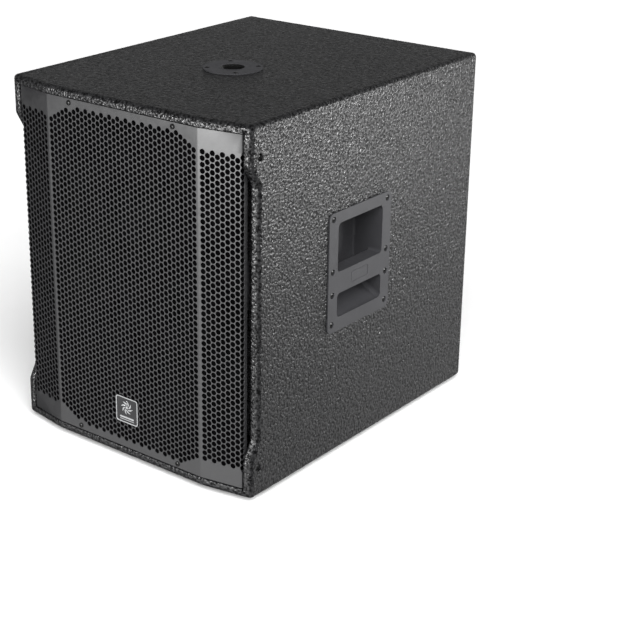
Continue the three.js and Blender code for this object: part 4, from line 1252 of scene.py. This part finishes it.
def line_output():
    """A round metal-shelled output with three pins."""
    low, high = cad("xlr_output")
    middle = centre_of("xlr_output")
    face, flange = high.y, high.x - middle.x
    seat = PANEL_FACE + 0.3
    profile = [
        (0, low.y), (9.5, low.y), (9.5, seat), (flange, seat), (flange, face - 0.6), (flange - 0.7, face),
        (8.9, face), (8.2, face - 0.7), (8.2, low.y + 4), (0, low.y + 4),
    ]
    shell = lathe("line_output", profile, (middle.x, middle.z), "Y", "silver_metal")
    key = block("key", (middle.x - 1.4, low.y + 5, middle.z - 8.6),
                (middle.x + 1.4, face - 1, middle.z - 6.9), "silver_metal")
    finished(smooth(carve(shell, [key], "UNION")), "silver_metal", nodes=["xlr_output"])
    start = low.y + 4
    insulator = [(0, start), (8, start), (8, start + 4), (7.4, start + 4.6), (0, start + 4.6)]
    insert = lathe("line_output_insert", insulator, (middle.x, middle.z), "Y", "black_plastic", 48)
    finished(smooth(insert), "black_plastic")
    tip = face - 6.5
    pin = [(0, start + 1), (1.2, start + 1), (1.2, tip - 1), (0.8, tip - 0.3), (0, tip)]
    places = arc((middle.x, middle.z), 3.6, 90, 330, 2)
    pins = [lathe("pin", pin, at, "Y", "silver_metal", 20) for at in places]
    finished(smooth(joined("line_output_pins", pins)), "silver_metal")


def volume_knob():
    """A fluted knob with a white pointer."""
    low, high = cad("volume_knob")
    middle = centre_of("volume_knob")
    radius, top = high.x - middle.x, high.y
    skirt = PANEL_FACE + 0.8
    flutes, count = 18, 72
    points, rings = [], []
    levels = [
        (1, skirt, 0), (1, skirt + 1.6, 0), (0.92, skirt + 2.2, 1), (0.86, top - 1.2, 1),
        (0.78, top - 0.3, 0.5), (0.7, top, 0),
    ]
    for share, y, depth in levels:
        rings.append(len(points))
        for i in range(count):
            angle = 2 * math.pi * i / count
            flute = 1 - 0.07 * depth * (0.5 + 0.5 * math.cos(flutes * angle))
            points.append((middle.x + radius * share * flute * math.cos(angle), y,
                           middle.z + radius * share * flute * math.sin(angle)))
    faces = [tuple(range(count)), tuple(rings[-1] + i for i in range(count))]
    for a, b in zip(rings, rings[1:]):
        faces += [(a + i, a + (i + 1) % count, b + (i + 1) % count, b + i) for i in range(count)]
    knob = new_object("volume_dial", points, faces, "black_plastic")
    core = [(0, low.y), (3, low.y), (3, skirt + 0.5), (0, skirt + 0.5)]
    shaft = lathe("shaft", core, (middle.x, middle.z), "Y", "black_plastic", 24)
    carve(knob, [shaft], "UNION")
    finished(smooth(knob, 30), "black_plastic", "volume_knob", ["volume_knob"])
    pointer = block("volume_pointer", (middle.x - 0.5, top - 0.15, middle.z + 1.2),
                    (middle.x + 0.5, top + 0.12, middle.z + 4.6), "white_plastic")
    finished(pointer, "white_plastic", "volume_knob")


def dial_marks():
    """Eleven plain marks round the knob."""
    middle = centre_of("volume_knob")
    marks = []
    for i in range(11):
        angle = math.radians(90 + 150 - 30 * i)
        mark = block("mark", (8.4, PANEL_FACE - 0.05, -0.22), (10.2, PANEL_FACE + 0.08, 0.22),
                     "white_plastic")
        turn = Matrix.Translation((middle.x, 0, middle.z)) @ Matrix.Rotation(-angle, 4, "Y")
        marks.append(copied(mark, turn))
        bpy.data.objects.remove(mark)
    finished(joined("volume_marks", marks), "white_plastic")


def status_lamps():
    """Three small domed lamps in a dark guide."""
    refined("status_leds", 0.15, "lamp_guide")
    low, high = cad("status_leds")
    middle_x = (low.x + high.x) / 2
    dome_profile = [
        (0, high.y - 2), (1.75, high.y - 2), (1.75, high.y - 0.6), (1.3, high.y + 0.1), (0.7, high.y + 0.45),
        (0, high.y + 0.55),
    ]
    lamps = [
        ("green", -5, (0.03, 0.35, 0.08)), ("amber", 0, (0.5, 0.25, 0.02)), ("red", 5, (0.45, 0.02, 0.02)),
    ]
    for name, z, tone in lamps:
        lens = f"lens_{name}"
        MATERIALS[lens] = plain(lens, tone, 0.15, specular=0.7, height=0.005, spread=0.03).material
        dome = lathe(f"lamp_{name}", dome_profile, (middle_x, AMP_Z + 134 + z), "Y", lens, 24)
        finished(smooth(dome), "white_plastic")


def slide_and_button():
    """A ridged slide actuator and a square push button, each in a plain collar."""
    low, high = cad("mode_switch")
    slider = block("mode_slider", low, high, "black_plastic")
    notches = []
    for i in range(3):
        start = low.x + 0.6 + i * 0.85
        notches.append(
            block("notch", (start, high.y - 0.5, low.z - 1), (start + 0.35, high.y + 1, high.z + 1), COAT)
        )
    finished(smooth(eased(carve(slider, notches), 0.12)), "black_plastic", "mode_switch", ["mode_switch"])
    low, high = cad("filter_button")
    button = block("filter_key", low, high, "white_plastic")
    finished(smooth(eased(button, 0.5, 3)), "white_plastic", "filter_button", ["filter_button"])
    collars = []
    for node, more in (("mode_switch", 3.4), ("filter_button", 0.4)):
        low, high = cad(node)
        edge = rounded_rectangle((low.x - 1.6, low.z - 1.6), (high.x + more + 1.2, high.z + 1.6), 1, 4)
        outer = prism("collar", edge, PANEL_FACE - 0.05, PANEL_FACE + 1, "Y", "black_plastic")
        inner = block("slot", (low.x - 0.4, PANEL_FACE - 1, low.z - 0.4),
                      (high.x + more, PANEL_FACE + 2, high.z + 0.4), COAT)
        collars.append(carve(outer, [inner]))
    finished(smooth(eased(joined("switch_collars", collars), 0.2)), "black_plastic")


def rocker():
    """A tilting mains switch in its bezel, marked with a bar and a ring."""
    refined("rocker_bezel", 0.6, "switch_bezel", 3)
    refined("power_rocker", 0.5, "switch_rocker", 3)
    low, high = cad("rocker_bezel")
    pivot = Vector(((low.x + high.x) / 2, PANEL_FACE - 0.2, (low.z + high.z) / 2))
    marks = []
    for side, parts in ((-1, "bar"), (1, "ring")):
        # The lever's two faces slope from its middle to its ends.
        tilt = Matrix.Translation(pivot) @ Matrix.Rotation(math.radians(-10), 4, "Z")
        slope = Matrix.Rotation(math.atan2(1.7, 9.9) * side, 4, "Z")
        at = tilt @ Matrix.Translation((side * 5.2, 2.2, 0)) @ slope
        if parts == "bar":
            mark = block("mark", (-0.35, -0.2, -2), (0.35, 0.14, 2), "white_plastic")
        else:
            ring = [(1.4, -0.2), (2, -0.2), (2, 0.14), (1.4, 0.14)]
            mark = lathe("mark", ring, (0, 0), "Y", "white_plastic", 28)
        marks.append(copied(mark, at))
        bpy.data.objects.remove(mark)
    finished(joined("switch_marks", marks), "white_plastic", "power_rocker")


def mains_inlet():
    """The mains socket, with its drawer's cap and three flat pins."""
    refined("iec_inlet", 0.5, "mains_socket", 3)
    refined("fuse_drawer", 0.4, "fuse_cap", 3)
    low, high = cad("fuse_drawer")
    middle = (low.x + high.x) / 2
    ridges = []
    for i in range(3):
        start = middle + 6.5 + i * 1.4
        edge = rounded_rectangle((start, low.z + 3.4), (start + 0.6, high.z - 3.4), 0.3, 2)
        ridges.append(prism("ridge", edge, high.y - 0.1, high.y + 0.25, "Y", "black_plastic"))
    finished(smooth(joined("fuse_cap_grip", ridges)), "black_plastic", "fuse_drawer")


def panels():
    refined("input_panel", 0.25, "signal_panel")
    refined("power_panel", 0.25, "mains_panel")
    size = (2.6, 1.2, 3)
    places = [(sx * 51.7, PANEL_FACE + 0.02, AMP_Z + z) for sx in (-1, 1) for z in (118, 168)]
    screws("panel_screws", size, places, "+Y", "plated_steel")
    for node, name in (("combo_jack", "input"), ("xlr_output", "output")):
        middle, seat = centre_of(node), PANEL_FACE + 0.1
        pair = [(middle.x + s * 10.6, seat, middle.z - s * 10.6) for s in (-1, 1)]
        screws(f"{name}_screws", size, pair, "+Y", "plated_steel")
    printed("signal_print", "white_plastic", [
        (44, 55, 157, 158.2), (44, 55, 154.4, 155.2), (44, 51, 151.6, 152.4),
        (29, 41, 160.4, 161), (29, 41, 149, 149.6),
        (-16, 0.5, 156.4, 157.2), (-16, 0.5, 153, 153.8), (8, 14, 160.6, 161.6), (16, 24, 142, 143.2),
        (-46, -35.5, 138.6, 139.4), (-46, -35.5, 133.6, 134.4), (-46, -35.5, 128.6, 129.4),
        (25, 41, 117.4, 118.6), (0, 15, 117.4, 118.6), (-42, -8, 117.6, 118.4), (-1, 5.5, 122, 123),
        (19, 24, 121.2, 122.4),
    ])
    printed("mains_label", "white_plastic", [(4.8, 55, -138.6, -130), (-5.3, 8, -160, -153.5)])
    printed("mains_print", "handle_plastic", [(-19.4, -14, -170, -142), (46.5, 51.5, -170, -145)])
    printed("mains_lines", "white_plastic", [(10, 17, -151.4, -150.4), (10, 17, -158, -157.2)])
    printed("mains_text_bars", "panel_steel", [
        (30, 53, -132.6, -131.8), (30, 50, -134.6, -133.9), (30, 53, -136.6, -135.9),
        (6.5, 26, -132.4, -131.7), (6.5, 22, -135, -134.4), (-3.6, 6.4, -155.4, -154.9),
        (-3.6, 4, -157.3, -156.8),
    ])


combo_input()
line_output()
volume_knob()
dial_marks()
status_lamps()
slide_and_button()
rocker()
mains_inlet()
panels()
refined("amp_gasket", 0.2, "amp_seal")


# ---------------------------------------------------------------- woofer


def woofer_basket():
    """A cast frame: a drilled rim, eight tapered legs and a seat for the motor."""
    low, high = cad("woofer_basket")
    rim = high.x
    front, back = low.y, high.y
    profile = [
        (rim, front + 0.8), (rim, front + 8), (211, front + 8), (209, front + 18.3), (116, back - 27),
        (112, back - 21), (112, back), (60, back), (60, back - 5), (104, back - 5), (104, back - 25),
        (99, back - 25), (99, back - 29), (110, back - 29), (198, front + 20.3), (200, front),
        (rim - 0.8, front),
    ]
    frame_cast = lathe("woofer_frame", profile, (0, WOOFER_Z), "Y", "basket_casting", 96)
    legs = 8
    windows = []
    for i in range(legs):
        outer = rounded_rectangle((-52, 128), (52, 250), (20, 20, 8, 8), 4)
        inner = rounded_rectangle((-26, 116), (26, 250), (10, 10, 4, 4), 4)
        window = loft("window", outer, front + 34.3, inner, back - 33, COAT)
        turn = Matrix.Rotation(2 * math.pi * (i + 0.5) / legs, 4, "Y")
        windows.append(copied(window, Matrix.Translation((0, 0, WOOFER_Z)) @ turn))
        bpy.data.objects.remove(window)
    bolt_ring, bolts = 221, 12
    holes = []
    for i in range(bolts):
        angle = 2 * math.pi * (i + 0.5) / bolts
        at = (bolt_ring * math.cos(angle), WOOFER_Z + bolt_ring * math.sin(angle))
        holes.append(hole_cutter(at, "Y", front - 1, front + 12, 3.2, count=18))
    carve(frame_cast, windows)
    carve(frame_cast, holes)
    finished(smooth(eased(frame_cast, 0.8, 2, 35), 35), "basket_casting", nodes=["woofer_basket"])
    gasket_low, gasket_high = cad("woofer_gasket")
    outer, inner = gasket_high.x, 213
    ring = [(inner, gasket_low.y + 0.4), (inner + 0.4, gasket_low.y), (outer - 0.4, gasket_low.y),
            (outer, gasket_low.y + 0.4), (outer, gasket_high.y), (inner, gasket_high.y)]
    finished(smooth(lathe("woofer_seal", ring, (0, WOOFER_Z), "Y", "rubber", 128)), "rubber",
             nodes=["woofer_gasket"])


def turned(name, node, profile, slot, body="cabinet", count=96):
    """A turned piece of the woofer that stands for a CAD node."""
    piece = lathe(name, profile, (0, WOOFER_Z), "Y", slot, count)
    return finished(smooth(piece, 32), slot, body, [node])


def cone():
    """A ribbed paper cone with a curved wall, its dust cap and the wound coil."""
    low, high = cad("woofer_cone")
    steps = 40
    front, back = [], []
    for i in range(steps + 1):
        share = i / steps
        radius = 166 + (54 - 166) * share
        y = low.y + 74 * share ** 0.86
        rib = 0.5 * max(0, math.sin(share * 2 * math.pi * 6)) * (1 if 0.1 < share < 0.9 else 0)
        front.append((radius, y - rib))
        back.append((radius, min(y + 2.6 - rib * 0.5, high.y)))
    neck = [(51.4, high.y - 3), (51.4, high.y)]
    profile = [(high.x, low.y), *front, *neck, *reversed(back), (high.x, low.y + 2.4)]
    turned("cone", "woofer_cone", profile, "cone_paper", "cone_assembly", 128)
    rise, edge = cad("dust_cap")[0].y, cad("dust_cap")[1].x
    half_angle = math.radians(60)
    dome = []
    for degrees in range(0, 61, 5):
        angle = math.radians(degrees)
        share = (1 - math.cos(angle)) / (1 - math.cos(half_angle))
        dome.append((edge * math.sin(angle) / math.sin(half_angle), rise + 19.4 * share))
    inner = [(max(0, r - 1.4 * r / edge), y + 1.3) for r, y in dome if y + 1.3 < cad("dust_cap")[1].y]
    turned("dome", "dust_cap", [*dome, (edge - 1.4, cad("dust_cap")[1].y), *reversed(inner)], "cone_paper",
           "cone_assembly", 96)
    coil_low, coil_high = cad("voice_coil")
    winding = []
    turns = 20
    start, end = coil_high.y - 30, coil_high.y
    for i in range(turns):
        y = start + (end - start) * (i + 0.5) / turns
        reach = (end - start) / turns / 2
        winding += [(51.3, y - reach), (52.1, y - reach * 0.5)]
        winding += [(52.1, y + reach * 0.5), (51.3, y + reach - 0.05)]
    turned("coil", "voice_coil", [(50, coil_low.y), (51, coil_low.y), (51, start - 0.2), *winding, (50, end)],
           "coil_copper", "cone_assembly", 72)


def soft_parts():
    """The rolled surround and the corrugated spider, which stretch between the frame and the cone."""
    basket_front, basket_back = (corner.y for corner in cad("woofer_basket"))
    lip, cone_lip, thick, roll = basket_front - 0.6, cad("woofer_cone")[0].y - 0.4, 1.6, 187
    front = lip - thick
    outer_arc = arc((roll, front), 11.5, 0, -180, 18)
    inner_arc = arc((roll, front), 9.8, -180, 0, 18)
    profile = [
        (212, lip), (212, front), *outer_arc, (174.5, cone_lip - thick), (164, cone_lip - thick),
        (164, cone_lip), (176, cone_lip), *inner_arc, (roll + 10.5, lip),
    ]
    roll_piece = lathe("rolled_surround", profile, (0, WOOFER_Z), "Y", "rubber", 128)
    smooth(roll_piece, 40)
    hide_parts("surround")
    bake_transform(roll_piece)
    outer, inner = (104, basket_back - 31.2), (51.5, basket_back - 38)
    folds, steps, thin = 7, 56, 0.9
    wave = []
    for i in range(steps + 1):
        share = i / steps
        fading = math.sin(min(1, 6 * share, 6 * (1 - share)) * math.pi / 2)
        lift = 2.1 * math.sin(share * folds * math.pi) * fading
        middle = [a + (b - a) * share for a, b in zip(outer, inner)]
        wave.append((middle[0], middle[1] - lift))
    back = [(r, y + thin) for r, y in reversed(wave)]
    web = lathe("corrugated_spider", [*wave, *back], (0, WOOFER_Z), "Y", "spider_cloth", 96)
    smooth(web, 60)
    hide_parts("spider")
    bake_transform(web)


def chamfered(inner, outer, y0, y1, cut):
    """The outline of a ring with broken edges."""
    return [(inner, y0 + cut), (inner + cut, y0), (outer - cut, y0), (outer, y0 + cut),
            (outer, y1 - cut), (outer - cut, y1), (inner + cut, y1), (inner, y1 - cut)]


def motor():
    for name, node, inner, slot in (("motor_front_plate", "woofer_top_plate", 53.5, "plated_steel"),
                                    ("motor_magnet", "woofer_magnet", 60, "ferrite")):
        low, high = cad(node)
        turned(name, node, chamfered(inner, high.x, low.y, high.y, 1), slot)
    low, high = cad("woofer_yoke")
    step = high.y - 12
    profile = [
        (16, high.y - 1.5), (17.5, high.y), (high.x - 1, high.y), (high.x, high.y - 1), (high.x, step + 1),
        (high.x - 1, step), (50.5, step), (48.8, step - 1.7), (48.8, low.y + 1), (47.8, low.y), (17.5, low.y),
        (16, low.y + 1.5),
    ]
    turned("motor_yoke", "woofer_yoke", profile, "plated_steel")


woofer_basket()
cone()
soft_parts()
motor()


# ---------------------------------------------------------------- inside the box

for node, width, name in (
    ("front_baffle", 1.5, "baffle_board"), ("port_shelf", 1.2, "port_shelf_board"),
    ("port_divider", 1.2, "port_divider_board"), ("window_brace", 2, "brace_board"),
    ("grille_batten_top", 1.2, "batten_top"), ("grille_batten_bottom", 1.2, "batten_bottom"),
    ("corner_block_top_left", 1.2, "block_top_left"), ("corner_block_top_right", 1.2, "block_top_right"),
    ("corner_block_bottom_left", 1.2, "block_bottom_left"),
    ("corner_block_bottom_right", 1.2, "block_bottom_right"),
    ("woofer_terminal", 0.8, "woofer_terminal_block"), ("amp_tray", 0.5, "amp_cover"),
    ("amp_board", 0.3, "amp_circuit"),
):
    refined(node, width, name)


def supply():
    """The power supply's finned case."""
    low, high = cad("power_supply")
    case = block("supply_case", low, high, "supply_block")
    pitch, depth = 9, 4
    slots = []
    for i in range(int((high.z - low.z - 10) / pitch)):
        start = low.z + 7 + i * pitch
        end = (high.x + 1, low.y + depth, start + 4)
        slots.append(block("slot", (low.x - 1, low.y - 1, start), end, COAT))
    finished(smooth(eased(carve(case, slots), 0.5)), "supply_block", nodes=["power_supply"])


def speaker_lead():
    """The woofer's lead, clipped at both ends inside the box."""
    route = [(40, 224.3, 215), (40, 200, 214), (46, 140, 200), (60, 80, 192), (60, 0, 188),
             (40, -60, 205), (8, -112, 246), (6, -142.6, WOOFER_Z - 121)]
    curve = bpy.data.curves.new("speaker_lead", "CURVE")
    curve.dimensions = "3D"
    curve.bevel_depth = 3.4 * MM
    curve.bevel_resolution = 6
    curve.use_fill_caps = True
    spline = curve.splines.new("BEZIER")
    spline.bezier_points.add(len(route) - 1)
    for knot, place in zip(spline.bezier_points, route):
        knot.co = Vector(place) * MM
        knot.handle_left_type = knot.handle_right_type = "AUTO"
    lead = shown("speaker_lead_curve", curve)
    mesh = bpy.data.meshes.new_from_object(lead.evaluated_get(bpy.context.evaluated_depsgraph_get()))
    bpy.data.objects.remove(lead)
    mesh.materials.clear()
    mesh.materials.append(MATERIALS["cable_jacket"])
    mesh.shade_smooth()
    finished(sealed(shown("speaker_lead", mesh)), "cable_jacket", nodes=["speaker_cable"])


supply()
speaker_lead()


# ---------------------------------------------------------------- camera, light and floor


def camera():
    """Looks down on the front left and right side, as a product photograph does."""
    yaw, pitch = math.radians(39.57), math.radians(20.996)
    distance = 2.8054
    target = Vector((-0.02625, 0, 0.24086))
    away = Vector((math.sin(yaw) * math.cos(pitch), -math.cos(yaw) * math.cos(pitch), math.sin(pitch)))
    data = bpy.data.cameras.new("camera")
    data.sensor_width = 36
    data.lens = 86.36
    data.shift_x = 0.1297
    data.shift_y = -0.072
    obj = shown("camera", data)
    obj.location = target + away * distance
    obj.rotation_mode = "QUATERNION"
    obj.rotation_quaternion = (-away).to_track_quat("-Z", "Y")
    bpy.context.scene.camera = obj


def lamp(name, kind, place, aim, power):
    data = bpy.data.lights.new(name, kind)
    data.energy = power
    obj = shown(name, data)
    obj.location = place
    obj.rotation_mode = "QUATERNION"
    obj.rotation_quaternion = (Vector(aim) - Vector(place)).to_track_quat("-Z", "Y")
    obj.visible_camera = False
    return obj


def soft_box(name, place, aim, size, power):
    data = lamp(name, "AREA", place, aim, power).data
    data.shape = "RECTANGLE"
    data.size, data.size_y = size


def surroundings(base, glows):
    """A dark room with soft glows: a direction, a strength, and the angles where each is full and ends."""
    world = bpy.data.worlds.new("studio")
    world.use_nodes = True
    nodes, links = world.node_tree.nodes, world.node_tree.links
    ray = nodes.new("ShaderNodeTexCoord").outputs["Generated"]
    total = None
    for direction, strength, full, end in glows:
        dot = nodes.new("ShaderNodeVectorMath")
        dot.operation = "DOT_PRODUCT"
        links.new(ray, dot.inputs[0])
        dot.inputs[1].default_value = Vector(direction).normalized()
        fade = nodes.new("ShaderNodeMapRange")
        fade.inputs["From Min"].default_value = math.cos(math.radians(end))
        fade.inputs["From Max"].default_value = math.cos(math.radians(full))
        fade.inputs["To Max"].default_value = strength
        links.new(dot.outputs["Value"], fade.inputs["Value"])
        add = nodes.new("ShaderNodeMath")
        add.inputs[0].default_value = base
        if total:
            links.new(total, add.inputs[0])
        links.new(fade.outputs["Result"], add.inputs[1])
        total = add.outputs["Value"]
    links.new(total, nodes["Background"].inputs["Strength"])
    nodes["Background"].inputs["Color"].default_value = (1, 1, 1, 1)
    bpy.context.scene.world = world


def studio():
    soft_box("side_light", (1.5, 0.9, 0.42), (0.26, -0.05, 0.42), (0.5, 0.34), 13)
    soft_box("front_light", (-0.4, -2.2, 0.44), (0, -0.3, 0.44), (0.9, 0.34), 29)
    sky = lamp("sky_light", "SUN", (1.1, -1.0, 1.34), (0, 0, 0), 5.4)
    sky.data.angle = math.radians(50)
    sky.visible_glossy = False
    surroundings(0.03, [
        ((0.6, 0.75, -0.3), 0.42, 20, 55),
        ((-0.6, 0.72, 0.3), 0.09, 10, 45),
        ((-0.15, -0.95, -0.3), 1.2, 15, 55),
        ((0, 1, -0.1), 0.5, 10, 34),
        ((-0.65, 0.7, -0.35), 0.35, 10, 34),
    ])
    bpy.context.scene.view_settings.view_transform = "Standard"


def floor():
    paper = Shader("pale_paper", (0.86, 0.86, 0.86), 0.9, specular=0.1)
    paper.tinted(paper.texture("noise", 600), 0.98, 1.02)
    mesh = bpy.data.meshes.new("floor")
    half = 20
    corners = [(-half, -half, 0), (half, -half, 0), (half, half, 0), (-half, half, 0)]
    mesh.from_pydata(corners, [], [(0, 1, 2, 3)])
    mesh.materials.append(paper.material)
    obj = shown("floor", mesh)
    obj.visible_glossy = False


camera()
studio()
floor()
